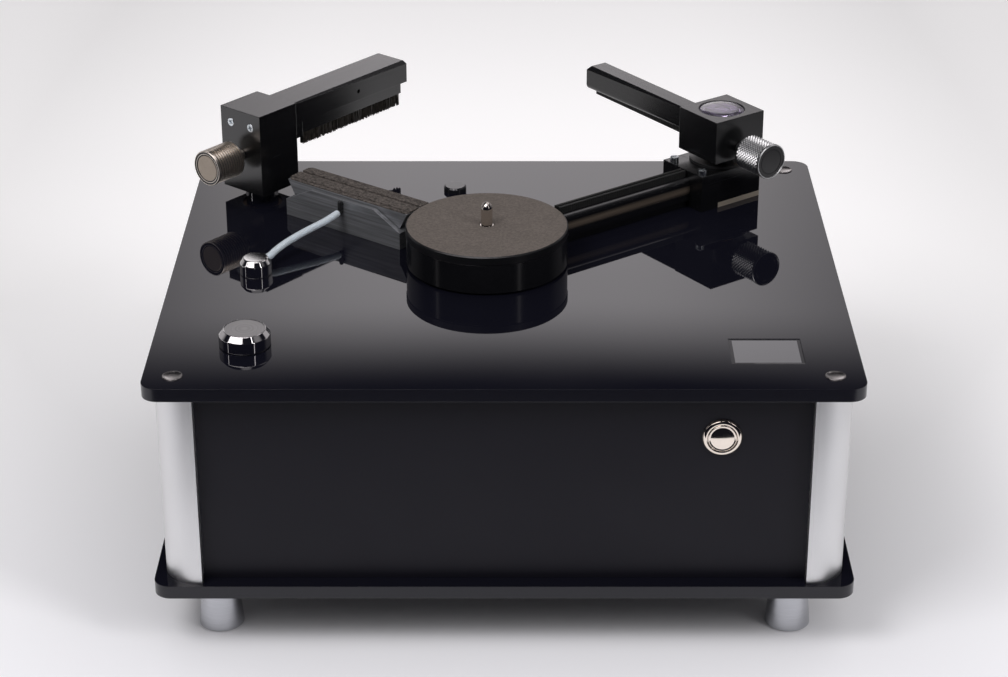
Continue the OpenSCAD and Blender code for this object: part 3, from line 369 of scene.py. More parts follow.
def display():
    """Grey window inside a narrow black border."""
    finish = Finish("display_window", DISPLAY_GREY, 0.12)
    low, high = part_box("display_window")
    middle, half = (low + high) / 2, (high - low) / 2
    place = finish.add("SeparateXYZ", Vector=finish.place())
    inside = 1.0
    for axis, centre, reach, width in zip("XY", middle, half, DISPLAY_BORDER):
        away = finish.math("ABSOLUTE", finish.math("SUBTRACT", place.outputs[axis], centre))
        edge = reach - width * MM
        inside = finish.math("MULTIPLY", finish.ramp(away, edge, edge + 0.1 * MM, 1, 0), inside)
    finish.tint(inside, (0.006, 0.006, 0.009), DISPLAY_GREY)
    return finish.material


# Heights of the painted reflection band's lower edge, middle and upper edge over the plate
PAINTED_REFLECTION_BAND = (9.0, 12.5, 15.5)


def bar_with_painted_reflection():
    """Black anodised bar whose front carries a warm painted reflection band along its length."""
    finish = Finish("black_anodised_painted_reflection", (0.004, 0.004, 0.0045), 0.25, IOR=1.75)
    finish.soft_edges(0.5 * MM)
    grain = finish.noise(finish.place(RIGHT_BAR_TURN, (12, 900, 900)), 1.0, 5.0, 0.62)
    streaks = finish.ramp(grain, 0.35, 0.65, 0, 1)
    height = finish.add("SeparateXYZ", Vector=finish.place()).outputs["Z"]
    low, middle, high = (PLATE_TOP + z * MM for z in PAINTED_REFLECTION_BAND)
    rise = finish.ramp(height, low, middle, 0, 1)
    band = finish.math("MULTIPLY", rise, finish.ramp(height, middle, high, 1, 0))
    facing = finish.add("SeparateXYZ", Vector=finish.add("TexCoord").outputs["Normal"])
    front = finish.ramp(facing.outputs["Y"], -0.7, -0.5, 1, 0)
    dark = finish.blend(streaks, (0.003, 0.003, 0.0035), (0.005, 0.005, 0.006))
    # The lighter warm colour on the front face is a painted reflection.
    light = finish.blend(streaks, (0.075, 0.058, 0.045), (0.115, 0.09, 0.072))
    finish.feed("Base Color", finish.blend(finish.math("MULTIPLY", band, front), dark, light))
    finish.bump(grain, 0.005 * MM, 0.4)
    return finish.material


materials = {
    "acrylic": acrylic(),
    "panel": panel(),
    "platter": matte("platter_black", (0.006, 0.006, 0.007), 0.16, 60, 0.002 * MM, 0.15),
    "post_aluminium": blasted_metal("satin_aluminium", (0.8, 0.8, 0.8), 0.4),
    "foot_aluminium": satin_metal("turned_aluminium", (0.58, 0.59, 0.62), 0.24, 0, (30, 30, 1400)),
    "black_left": anodised("black_anodised_left", LEFT_TURN),
    "black_right": anodised("black_anodised_right", RIGHT_TURN, ior=1.58),
    "black_bar": anodised("black_anodised_bar", RIGHT_BAR_TURN),
    "bar_with_painted_reflection": bar_with_painted_reflection(),
    "grey_bar": satin_metal("brushed_aluminium_left", (0.3, 0.305, 0.325), 0.34, LEFT_BAR_TURN,
                            (14, 500, 500), deep=0.03 * MM, contrast=0.6, metallic=0.5),
    "grey_shim": satin_metal("brushed_aluminium_right", (0.6, 0.52, 0.43), 0.36, RIGHT_BAR_TURN,
                             metallic=0.6),
    "grey_inner": satin_metal("plain_aluminium", (0.6, 0.6, 0.61), 0.4),
    "chrome": mirror_metal("chrome", (0.82, 0.82, 0.83), 0.05),
    "pin_steel": mirror_metal("pin_steel", (0.7, 0.65, 0.6), 0.13, 0),
    "button_chrome": mirror_metal("button_chrome", (0.9, 0.81, 0.71), 0.045, 0),
    "dial": spun_metal("spun_chrome_dial", "dial", (0.8, 0.79, 0.79), 0.3, 0.05, 0.72),
    "turret": spun_metal("spun_chrome_turret", "fluid_turret", (0.86, 0.86, 0.85), 0.1, 0.05, 1.05),
    "zinc": mirror_metal("zinc", (0.72, 0.77, 0.8), 0.2),
    "screw_steel": satin_metal("dished_steel", (0.42, 0.4, 0.39), 0.26, 0, (400, 400, 400)),
    "steel": satin_metal("steel", (0.66, 0.63, 0.59), 0.22, 0, (1200, 1200, 60)),
    "knob_steel": satin_metal("knob_steel", (0.8, 0.73, 0.65), 0.3, 0, (500, 500, 500), 0, contrast=0.1),
    "knob_grey": satin_metal("knurled_steel", (0.6, 0.61, 0.61), 0.3, 0, (500, 500, 500), 0, contrast=0.1),
    "knob_face": satin_metal("knob_disc", (0.42, 0.36, 0.3), 0.42, 0, (300, 300, 300), 0, contrast=0.12),
    "knob_black": matte("knob_black", (0.005, 0.005, 0.006), 0.16, 200, 0.004 * MM, radius=0),
    "bronze": mirror_metal("bronze", (0.6, 0.42, 0.22), 0.3),
    "rubber": matte("black_rubber", (0.012, 0.012, 0.012), 0.6, 700, 0.03 * MM),
    "cap_rubber": matte("cap_black", (0.01, 0.01, 0.012), 0.12, 300, 0.004 * MM),
    "black_plastic": matte("black_plastic", (0.014, 0.014, 0.015), 0.3, 900, 0.01 * MM),
    "pad": pad(),
    "felt": felt(),
    "bristle": matte("bristle", (0.036, 0.031, 0.027), 0.35, 500, 0.02 * MM, 0.95, 0),
    "hose": clear_plastic("clear_hose", (0.88, 0.94, 1.0), 0.09, 0.55, 1.42),
    "display": display(),
    "lens": clear_plastic("lens", (0.8, 0.74, 0.88), 0.02, 0.95, 1.49),
    "lens_floor": matte("lens_floor", (0.36, 0.29, 0.42), 0.3, 90, 0.003 * MM, 0.7, 0),
    "tank": matte("tank_plastic", (0.62, 0.64, 0.6), 0.4, 500, 0.01 * MM, 0.05),
    "board": matte("board_green", (0.03, 0.12, 0.06), 0.5, 400, 0.01 * MM),
    "unit": matte("unit_grey", (0.2, 0.21, 0.22), 0.5, 600, 0.01 * MM),
}

FINISH_OF = {
    "acrylic": ["bottom_plate", "top_plate"],
    "panel": ["front_panel", "rear_panel", "side_panels"],
    "platter": ["platter_body"],
    "post_aluminium": ["corner_posts"],
    "foot_aluminium": ["feet"],
    "black_left": ["left_block", "brush_arm", "brush_holder"],
    "black_right": ["right_block", "suction_arm"],
    "black_bar": ["base_block", "bar_bracket"],
    "bar_with_painted_reflection": ["lower_bar"],
    "grey_bar": ["brush_cradle", "felt_carrier"],
    "grey_shim": ["tower_shim"],
    "grey_inner": ["bearing_housing", "platter_pulley", "post_sockets"],
    "chrome": ["arm_posts"],
    "button_chrome": ["button_body", "button_cap"],
    "dial": ["dial"],
    "turret": ["fluid_turret"],
    "zinc": ["left_block_screws", "bracket_screws"],
    "steel": ["plate_screws", "spindle_shaft", "motor_pulley", "button_nut"],
    "knob_steel": ["left_clamp_knob", "right_clamp_knob"],
    "bronze": ["left_bush", "right_bush"],
    "rubber": ["foot_pads", "drive_belt", "suction_lips", "lower_lips"],
    "cap_rubber": ["filler_cap"],
    "black_plastic": ["turn_ring", "hose_elbow", "dial_encoder", "mains_inlet"],
    "pad": ["platter_pad"],
    "felt": ["felt_strips"],
    "bristle": ["bristles"],
    "hose": ["fluid_hose"],
    "display": ["display_window"],
    "lens": ["level_lens"],
    "tank": ["fluid_tank", "waste_tank"],
    "board": ["control_board"],
    "unit": ["display_module", "drive_motor", "fluid_pump", "vacuum_turbine", "power_supply"],
}


def paint_nodes():
    """Puts each finish on the slots of its CAD nodes."""
    for finish, names in FINISH_OF.items():
        for name in names:
            for slot in nodes[name].material_slots:
                slot.material = materials[finish]


# Pieces. Their shapes are drawn in millimetres in a local frame

def make_piece(name, shape, local, finishes, body, replaced, smooth=40):
    """Turns a shape into a piece that rides on a body and stands for CAD nodes."""
    shape.transform(local @ Matrix.Scale(MM, 4))
    bmesh.ops.recalc_face_normals(shape, faces=shape.faces)
    mesh = bpy.data.meshes.new(name)
    shape.to_mesh(mesh)
    shape.free()
    mesh.shade_smooth()
    mesh.set_sharp_from_angle(angle=math.radians(smooth))
    for finish in finishes:
        mesh.materials.append(materials[finish])
    piece = bpy.data.objects.new(name, mesh)
    bpy.context.scene.collection.objects.link(piece)
    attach(piece, body)
    if replaced:
        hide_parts(*replaced)
    return piece


def bridge(shape, a, b, finish=0):
    """Faces between two closed rings of points, or between a ring and one point."""
    count = max(len(a), len(b))
    for k in range(count):
        j = (k + 1) % count
        corners = [a[k % len(a)], a[j % len(a)], b[j % len(b)], b[k % len(b)]]
        corners = list(dict.fromkeys(corners))
        if len(corners) > 2:
            shape.faces.new(corners).material_index = finish


def circle_points(radius, height, sides):
    if radius == 0:
        return [(0, 0, height)]
    turns = [2 * math.pi * k / sides for k in range(sides)]
    return [(radius * math.cos(t), radius * math.sin(t), height) for t in turns]


def add_turned(shape, profile, sides=96, place=(0, 0, 0)):
    """Turned form about Z from (radius, height, finish) points, each finish for the band that follows."""
    move = Vector(place)
    rings = [[shape.verts.new(Vector(p) + move) for p in circle_points(radius, height, sides)]
             for radius, height, _ in profile]
    for (a, b), point in zip(zip(rings, rings[1:]), profile):
        bridge(shape, a, b, point[2])


def turned(profile, sides=96):
    shape = bmesh.new()
    add_turned(shape, profile, sides)
    return shape


def toward_minus_x(local, height):
    """Frame whose Z runs along the local -X at a height, as a clamp screw does."""
    return local @ Matrix.Translation((0, 0, height * MM)) @ Matrix.Rotation(-math.pi / 2, 4, "Y")


KNOB_R = 11.5
KNOB_STUB_R = 3.5
KNOB_STANDOFF = 8.4
KNOB_LENGTH = 23.0


def make_left_knob():
    """Turned knob: lands between grooves whose floors are painted black as painted shade, a smooth lip, and a
    ringed bare disc in its face.
    """
    face = 16.7
    back = face + KNOB_STANDOFF
    front = back + KNOB_LENGTH
    pitch = 2.0
    deep = 0.7
    profile = [(0, face + 0.4, 0), (KNOB_STUB_R, face + 0.4, 0), (KNOB_STUB_R, back, 0),
               (KNOB_R - 0.8, back, 0), (KNOB_R - 0.1, back + 0.6, 0)]
    # Each groove's floor takes the black finish as painted shade.
    for i in range(10):
        start = back + 1.0 + i * pitch
        profile += [(KNOB_R, start, 0), (KNOB_R, start + 1.0, 0), (KNOB_R - deep, start + 1.2, 1),
                    (KNOB_R - deep, start + 1.8, 0)]
    profile += [(KNOB_R, front - 1.9, 0), (KNOB_R, front - 0.3, 0), (KNOB_R - 0.3, front, 0),
                (KNOB_R - 0.6, front, 1), (KNOB_R - 0.65, front - 0.3, 1), (9.6, front - 0.3, 1),
                (9.6, front - 0.1, 0), (9.3, front - 0.1, 0), (9.3, front - 0.5, 1), (8.5, front - 0.5, 1),
                (8.5, front - 0.35, 2), (8.2, front - 0.2, 2), (0, front - 0.15, 2)]
    make_piece("left_knob", turned(profile, 120), toward_minus_x(ON_LEFT_POST, 31.6),
               ["knob_steel", "knob_black", "knob_face"], "left_clamp", ["left_clamp_knob"], 25)


def make_right_knob():
    """Diamond-knurled knob with a bright lip and a gloss black face."""
    face = 18.45
    back = face + KNOB_STANDOFF
    front = back + KNOB_LENGTH
    shape = bmesh.new()
    add_turned(shape, [(0, face + 0.4, 0), (KNOB_STUB_R, face + 0.4, 0), (KNOB_STUB_R, back, 0),
                       (KNOB_R - 0.9, back, 0), (KNOB_R - 0.4, back + 0.8, 0)], 120)
    add_turned(shape, [(KNOB_R - 0.3, front - 1.7, 0), (KNOB_R, front - 1.5, 0), (KNOB_R, front - 0.4, 0),
                       (KNOB_R - 0.3, front, 0), (10.7, front, 0), (10.5, front - 0.5, 1),
                       (8.4, front - 0.5, 1), (8.2, front - 0.7, 1), (7.9, front - 0.7, 1),
                       (7.7, front - 0.5, 1), (0, front - 0.4, 1)], 120)
    columns, rows = 60, 18
    low, high = back + 0.8, front - 1.7
    rings = []
    for i in range(rows + 1):
        height = low + (high - low) * i / rows
        ring = []
        for k in range(columns):
            raised = (i + k) % 2 == 0 and 0 < i < rows
            radius = KNOB_R if raised else KNOB_R - 0.8
            turn = 2 * math.pi * k / columns
            ring.append(shape.verts.new((radius * math.cos(turn), radius * math.sin(turn), height)))
        rings.append(ring)
    for i in range(rows):
        for k in range(columns):
            j = (k + 1) % columns
            quad = [rings[i][k], rings[i][j], rings[i + 1][j], rings[i + 1][k]]
            if (i + k) % 2 == 0:
                quad = quad[1:] + quad[:1]
            shape.faces.new((quad[0], quad[1], quad[2]))
            shape.faces.new((quad[0], quad[2], quad[3]))
    make_piece("right_knob", shape, toward_minus_x(ON_RIGHT_POST, 37.4), ["knob_grey", "knob_black"],
               "right_clamp", ["right_clamp_knob"], 12)


def cross_outline(half_width, reach):
    """Corners of a cross, around its middle."""
    w, r = half_width, reach
    quarter = [(r, -w), (r, w), (w, w)]
    points = []
    for turn in range(4):
        c, s = round(math.cos(turn * math.pi / 2)), round(math.sin(turn * math.pi / 2))
        points += [(x * c - y * s, x * s + y * c) for x, y in quarter]
    return points


def add_cross_head(shape, place, radius, spin):
    """Countersunk head seen from outside: a flat face with a cross recess."""
    turn = Matrix.Rotation(math.radians(spin), 4, "Z")
    local = Matrix.Translation(place) @ turn

    def ring(points, height):
        return [shape.verts.new(local @ Vector((x, y, height))) for x, y in points]

    def loop(verts):
        pairs = zip(verts, verts[1:] + verts[:1])
        return [shape.edges.get(pair) or shape.edges.new(pair) for pair in pairs]

    outline = [(x, y) for x, y, _ in circle_points(radius, 0, 48)]
    shoulder = [(x, y) for x, y, _ in circle_points(radius - 0.25, 0, 48)]
    cross = cross_outline(0.5, 1.75)
    foot = cross_outline(0.3, 1.0)
    low = ring(outline, -0.8)
    rim = ring(outline, -0.1)
    top = ring(shoulder, 0.12)
    lip = ring(cross, 0.12)
    floor = ring(foot, -1.2)
    bridge(shape, low, rim)
    bridge(shape, rim, top)
    bmesh.ops.triangle_fill(shape, use_beauty=True, edges=loop(top) + loop(lip))
    bridge(shape, lip, floor)
    shape.faces.new(floor)


def make_block_screws():
    shape = bmesh.new()
    for y, spin in ((-8.8, 20), (8.8, 65)):
        add_cross_head(shape, (0, y, 16.7), 2.8, spin)
    make_piece("left_cross_screws", shape, toward_minus_x(ON_LEFT_POST, 51.8), ["zinc"], "left_arm",
               ["left_block_screws"], 30)


SCREW_R = 5.8


def make_plate_screws():
    """Shallow dished heads over and under the plates."""
    low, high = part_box("plate_screws")
    middle = (low + high) / 2
    reach = (high - low) / 2 - Vector((SCREW_R, SCREW_R, 0)) * MM
    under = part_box("bottom_plate")[0].z
    shape = bmesh.new()
    dish = [(SCREW_R, 0), (SCREW_R, 0.35), (5.55, 0.62), (5.3, 0.66), (5.0, 0.5), (4.0, 0.2), (2.6, 0.02),
            (0, -0.05)]
    for side_x in (-1, 1):
        for side_y in (-1, 1):
            x = (middle.x + side_x * reach.x) / MM
            y = (middle.y + side_y * reach.y) / MM
            for base, way in ((PLATE_TOP / MM, 1), (under / MM, -1)):
                add_turned(shape, [(r, way * max(h, 0.02), 0) for r, h in dish], 48, (x, y, base))
    make_piece("dished_screws", shape, Matrix.Identity(4), ["screw_steel"], "case", ["plate_screws"],
               50)


def make_bristles():
    """Four rows of tufts under the brush holder, each tuft a bunch of tapered hairs of uneven length."""
    draw = random.Random(4)
    shape = bmesh.new()
    start, end, top, length = 23.2, 117.2, 39.2, 9.1
    tufts = 36
    pitch = (end - start) / tufts
    for row in range(4):
        for i in range(tufts):
            root_x = start + (i + 0.5 + 0.25 * (row % 2)) * pitch
            root_y = -15.9 + row * 0.9
            lean_x, lean_y = draw.uniform(-0.5, 0.5), draw.uniform(-0.25, 0.25)
            reach = length * draw.uniform(0.93, 1.0)
            for _ in range(17):
                x = root_x + draw.uniform(-1.0, 1.0)
                y = root_y + draw.uniform(-0.45, 0.45)
                tip = Vector((x + lean_x + draw.uniform(-0.35, 0.35), y + lean_y + draw.uniform(-0.25, 0.25),
                              top - reach * draw.uniform(0.9, 1.0)))
                tip.x = min(max(tip.x, start), end)
                turn = draw.uniform(0, 6.28)
                rings = []
                for centre, radius in ((Vector((min(x, end), y, top)), 0.24), (tip, 0.15)):
                    rings.append([shape.verts.new(centre + Vector((radius * math.cos(turn + a),
                                                                   radius * math.sin(turn + a), 0)))
                                  for a in (0, 2.094, 4.189)])
                bridge(shape, rings[0], rings[1])
                shape.faces.new(rings[1])
    make_piece("bristle_tufts", shape, ON_LEFT_POST, ["bristle"], "left_arm", ["bristles"], 60)


def add_felt(shape, start, length, low_edge, high_edge, bottom, thickness, draw):
    """Strip along X between two edges given as functions of the distance along it, with a rough top."""
    steps = 200
    rows = max(3, round(high_edge(length / 2) - low_edge(length / 2)) + 5)
    loops = []
    for i in range(steps + 1):
        x = length * i / steps
        low, high = low_edge(x), high_edge(x)
        top = bottom + thickness
        points = [(low, bottom), (low, top - 0.45), (low + 0.2, top - 0.15)]
        for k in range(rows + 1):
            y = low + 0.5 + (high - low - 1.0) * k / rows
            points.append((y, top - draw.uniform(0.0, 0.45)))
        points += [(high - 0.2, top - 0.15), (high, top - 0.45), (high, bottom)]
        loops.append([shape.verts.new((start + x, y, z)) for y, z in points])
    for a, b in zip(loops, loops[1:]):
        bridge(shape, a, b)
    for loop in (loops[0], loops[-1]):
        shape.faces.new(loop)


def make_felts():
    """Three felt strips on the carrier, the narrow outer one with its corners cut back."""
    draw = random.Random(7)
    shape = bmesh.new()
    start, length, bottom, thickness = 51.5, 97.6, 23.2, 1.4
    add_felt(shape, start, length, lambda x: -7.2 + max(0.0, x - (length - 2)), lambda x: 0.4,
             bottom, thickness, draw)
    add_felt(shape, start, length, lambda x: 2.4, lambda x: 11.3, bottom, thickness, draw)
    add_felt(shape, start, length, lambda x: 12.2,
             lambda x: 14.4 - max(0.0, 2 - x) - max(0.0, x - (length - 2)), bottom, thickness - 0.3, draw)
    make_piece("felt_pair", shape, ON_LEFT_BAR, ["felt"], "case", ["felt_strips"], 80)


def add_ribbed_lip(shape, start, length, middle, thickness, low, high):
    """Soft lip along X with shallow upright ribs on both faces."""
    pitch = 1.5
    steps = int(length / pitch) * 2
    loops = []
    for i in range(steps + 1):
        x = start + length * i / steps
        half = thickness / 2 - (0.22 if i % 2 else 0.0)
        loops.append([shape.verts.new((x, middle + y, z)) for y, z in
                      ((-half, low + 0.3), (-half, high), (half, high), (half, low + 0.3),
                       (half - 0.4, low), (0.4 - half, low))])
    for a, b in zip(loops, loops[1:]):
        bridge(shape, a, b)
    for loop in (loops[0], loops[-1]):
        shape.faces.new(loop)


def make_lips():
    """Ribbed lips on both sides of the two suction slots."""
    upper = bmesh.new()
    lower = bmesh.new()
    for side in (-1, 1):
        add_ribbed_lip(upper, 19.45, 92.25, 13.1 + side * 1.8, 2.0, 38.0, 42.5)
        add_ribbed_lip(lower, 53.3, 102.1, -1.2 + side * 1.8, 2.0, -24.3, -19.8)
    bmesh.ops.scale(lower, vec=(1, 1, -1), verts=lower.verts)
    make_piece("ribbed_upper_lips", upper, ON_RIGHT_POST, ["rubber"], "right_arm", ["suction_lips"],
               20)
    make_piece("ribbed_lower_lips", lower, ON_RIGHT_BAR, ["rubber"], "case", ["lower_lips"],
               20)


def make_level():
    """Bull's-eye level: a clear violet body with a lens-shaped chamber, over a pale floor with a ring and a
    black outer rim of painted shade.
    """
    top = 58.2
    body = turned([(0, top - 3.6, 0), (14.3, top - 3.6, 0), (14.6, top - 3.3, 0), (14.6, top - 0.9, 0),
                   (14.2, top - 0.3, 0), (13.2, top + 0.02, 0), (10.0, top + 0.25, 0), (5.0, top + 0.37, 0),
                   (0, top + 0.4, 0)])
    add_turned(body, [(0, top - 3.0, 0), (8.5, top - 3.0, 0), (10.6, top - 2.6, 0), (11.0, top - 2.0, 0),
                      (9.0, top - 1.3, 0), (5.0, top - 0.85, 0), (0, top - 0.7, 0)])
    make_piece("level_body", body, ON_RIGHT_POST, ["lens"], "right_arm", ["level_lens"])
    # The floor's outer rim takes the black finish as painted shade.
    floor = turned([(0, top - 5.9, 1), (14.5, top - 5.9, 1), (14.5, top - 4.0, 1), (13.9, top - 3.75, 1),
                    (11.6, top - 3.75, 0), (5.4, top - 3.75, 1), (5.4, top - 3.65, 1), (4.4, top - 3.65, 1),
                    (4.4, top - 3.75, 0), (0, top - 3.75, 0)])
    make_piece("level_floor", floor, ON_RIGHT_POST, ["lens_floor", "knob_black"], "right_arm", [])


def spline(points, steps):
    """Smooth path through points, with this many steps between two."""
    path = []
    for i in range(len(points) - 1):
        a, b = points[max(i - 1, 0)], points[i]
        c, d = points[i + 1], points[min(i + 2, len(points) - 1)]
        for k in range(steps):
            t = k / steps
            path.append(0.5 * (2 * b + (c - a) * t + (2 * a - 5 * b + 4 * c - d) * t * t
                               + (3 * b - a - 3 * c + d) * t * t * t))
    return path + [points[-1]]


HOSE_START = Vector((-146.9, -3.7))
HOSE_END = Vector((-105.5, 45.5))
HOSE_SHAPE = [(0, 0, 5.6), (0.07, -0.1, 6), (0.16, 0.4, 7.6), (0.31, 1, 9.2), (0.47, 0.8, 10.6),
              (0.63, 0.2, 11.8), (0.8, -0.5, 12.9), (0.94, -0.4, 14), (1, 0, 14.4)]
HOSE_R = 2.25
HOSE_BORE_R = 1.5


def make_hose():
    """The clear hose as a smooth open tube, on the CAD hose's route."""
    way = HOSE_END - HOSE_START
    side = Vector((-way.y, way.x)).normalized()
    points = []
    for share, offset, height in HOSE_SHAPE:
        flat = HOSE_START + way * share + side * offset
        points.append(Vector((flat.x, flat.y, height)))
    path = spline(points, 6)
    sides = 28
    shape = bmesh.new()
    outer, inner = [], []
    for i, centre in enumerate(path):
        along = (path[min(i + 1, len(path) - 1)] - path[max(i - 1, 0)]).normalized()
        across = along.cross(Vector((0, 0, 1))).normalized()
        up = across.cross(along)
        for rings, radius in ((outer, HOSE_R), (inner, HOSE_BORE_R)):
            rings.append([shape.verts.new(centre + radius * (math.cos(t) * across + math.sin(t) * up))
                          for t in (2 * math.pi * k / sides for k in range(sides))])
    for rings in (outer, inner):
        for a, b in zip(rings, rings[1:]):
            bridge(shape, a, b)
    for end in (0, -1):
        bridge(shape, outer[end], inner[end])
    shift = box_centre("top_plate").y
    make_piece("clear_hose", shape, Matrix.Translation((0, shift, PLATE_TOP)), ["hose"], "case",
               ["fluid_hose"], 60)


# A ring this far from a rounded corner keeps the flat beside it flat
FLAT_HOLD = 0.12


def rounded(profile, radius, finish=0, steps=3):
    """Profile with this radius at each of its inner corners, given as (radius, height) points."""
    points = [Vector(p) for p in profile]
    result = [(*points[0], finish)]
    for before, corner, after in zip(points, points[1:], points[2:]):
        reach = min(radius, (before - corner).length / 2, (after - corner).length / 2)
        toward, away = (before - corner).normalized(), (after - corner).normalized()
        start, end = corner + toward * reach, corner + away * reach
        if (before - corner).length > 4 * radius:
            result.append((*(start + toward * FLAT_HOLD), finish))
        for k in range(steps + 1):
            t = k / steps
            result.append((*(start * (1 - t) ** 2 + corner * 2 * t * (1 - t) + end * t * t), finish))
        if (after - corner).length > 4 * radius:
            result.append((*(end + away * FLAT_HOLD), finish))
    return result + [(*points[-1], finish)]


def at_node(node):
    """Frame on the plate's top at the middle of a node."""
    middle = box_centre(node)
    return Matrix.Translation((middle.x, middle.y, PLATE_TOP))


DIAL_R = 15.0
DIAL_STEM = -13.0
DIAL_GAP = 0.4


def make_dial():
    """Dial with a satin top inside a bright bevel and a polished side."""
    profile = [(0, DIAL_STEM), (3, DIAL_STEM), (3, DIAL_GAP), (DIAL_R, DIAL_GAP), (DIAL_R, 7.2), (12.3, 10.4),
               (11.9, 10.4), (11.7, 10.25), (0, 10.25)]
    make_piece("dial_knob", turned(rounded(profile, 0.35)), at_node("dial"), ["dial"], "program_dial",
               ["dial"], 35)


TURRET_R = 9.75
TURRET_STEM_R = 5.5


def make_turret():
    """Bevelled cap over the fluid's outlet, with its stem and nut."""
    profile = [(0, 0.02), (TURRET_R, 0.02), (TURRET_R, 7.2), (7.55, 10.4), (0, 10.4)]
    shape = turned(rounded(profile, 0.5))
    stem = TURRET_STEM_R
    add_turned(shape, [(0, -26, 0), (stem, -26, 0), (stem, 0.01, 0), (0, 0.01, 0)])
    add_turned(shape, [(stem, -16, 0), (10, -16, 0), (10, -10.02, 0), (stem, -10.02, 0)], 6)
    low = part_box("fluid_turret")[0]
    place = Vector((low.x + TURRET_R * MM, low.y + TURRET_R * MM, PLATE_TOP))
    make_piece("turret_cap", shape, Matrix.Translation(place), ["turret"], "case", ["fluid_turret"],
               35)


PIN_R = 3.6
PIN_TIP = 4.8
COLLAR_R = 4.1
SHAFT_R = 6.0
SHAFT_TOP = 16.6
TIP_STEPS = 12


def make_spindle():
    """Shaft and rounded pin of the platter."""
    low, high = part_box("spindle_shaft")
    foot = (low.z - PLATE_TOP) / MM
    top = (high.z - PLATE_TOP) / MM
    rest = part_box("platter_pad")[1].z
    collar = (rest - PLATE_TOP) / MM - 0.3
    arc = (PIN_R ** 2 + PIN_TIP ** 2) / (2 * PIN_R)
    sweep = math.asin(PIN_TIP / arc)
    profile = [(0, foot, 0), (SHAFT_R, foot, 0), (SHAFT_R, SHAFT_TOP, 0), (COLLAR_R, SHAFT_TOP, 0),
               (COLLAR_R, collar, 0), (PIN_R, collar, 0), (PIN_R, top - PIN_TIP, 0)]
    for k in range(1, TIP_STEPS):
        turn = sweep * k / TIP_STEPS
        profile.append((PIN_R - arc + arc * math.cos(turn), top - PIN_TIP + arc * math.sin(turn), 0))
    make_piece("spindle_pin", turned(profile + [(0, top, 0)], 64), at_node("spindle_shaft"), ["pin_steel"],
               "platter", ["spindle_shaft"], 40)


BEZEL_R = 11.4
BARREL_R = 8.6
CAP_R = 8.2
CAP_RIM = 0.8
CAP_DOME = 0.3
DOME_STEPS = 10


def make_button():
    """Polished bezel with a rounded edge, and a slightly domed cap with a fine raised rim."""
    low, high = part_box("button_body")
    middle = (low + high) / 2
    cap_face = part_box("button_cap")[0].y
    outward = Matrix.Translation((middle.x, low.y, middle.z)) @ Matrix.Rotation(math.pi / 2, 4, "X")
    bore = CAP_R + 0.15
    bezel = [(bore, -26), (BARREL_R, -26), (BARREL_R, -2), (BEZEL_R, -2), (BEZEL_R, -1.5),
             (BEZEL_R - 0.7, -0.4), (BEZEL_R - 1.5, 0), (CAP_R + 0.5, 0), (bore, -0.3), (bore, -9)]
    make_piece("button_bezel", turned(rounded(bezel, 0.3)), outward, ["button_chrome"], "case",
               ["button_body"], 50)
    rise = (low.y - cap_face) / MM
    cap = [(0, -5.6), (CAP_R, -5.6), (CAP_R, rise - 0.4), (CAP_R - 0.3, rise - 0.15),
           (CAP_R - 0.6, rise - 0.15), (CAP_R - CAP_RIM, rise - 0.3)]
    dome = []
    for k in range(1, DOME_STEPS + 1):
        share = 1 - k / DOME_STEPS
        dome.append(((CAP_R - CAP_RIM) * share, rise - 0.3 + CAP_DOME * (1 - share ** 2), 0))
    make_piece("button_face", turned(rounded(cap, 0.1) + dome), outward, ["button_chrome"], "power_button",
               ["button_cap"], 50)


# Along the bar from and to, its middle line, and the strip's width and height
BAR_FOOT = (56.0, 156.0, -1.2, 9.0, 4.3)


def make_bar_foot():
    """Black strip between the lower suction bar and the plate, which closes the gap under the bar."""
    shape = bmesh.new()
    bmesh.ops.create_cube(shape, size=1)
    start, end, middle, width, height = BAR_FOOT
    place = Matrix.Translation(((start + end) / 2, middle, height / 2 + 0.02))
    shape.transform(place @ Matrix.Diagonal((end - start, width, height, 1)))
    edges = [e for e in shape.edges if abs(e.verts[0].co.z - e.verts[1].co.z) > 1]
    bmesh.ops.bevel(shape, geom=edges, offset=1.5, segments=4, affect="EDGES", profile=0.5)
    make_piece("lower_bar_foot", shape, ON_RIGHT_BAR, ["black_bar"], "case", [], 30)


def make_pieces():
    make_bar_foot()
    make_dial()
    make_turret()
    make_spindle()
    make_button()
    make_left_knob()
    make_right_knob()
    make_block_screws()
    make_plate_screws()
    make_bristles()
    make_felts()
    make_lips()
    make_level()
    make_hose()


# Stage and light

STUDIO_DARK = (0.008, 0.008, 0.012, 1)
FLOOR_REACH = 12.0
FLOOR_FRONT = (0.89, 0.88, 0.93)
FLOOR_REAR = (0.9, 0.88, 0.89)
# The camera sees the floor a little lighter behind the machine and beside it
REAR_GLOW = 0.28
FAR_FADE = -0.1
SIDE_GLOW = 0.13
GLOW_TINT = (1, 0.97, 0.99, 1)
# Gloss sees the floor end in front of the machine and to its right
TABLE_EDGE = (-0.447, -0.439)
TABLE_RIGHT = (0.55, 0.9)


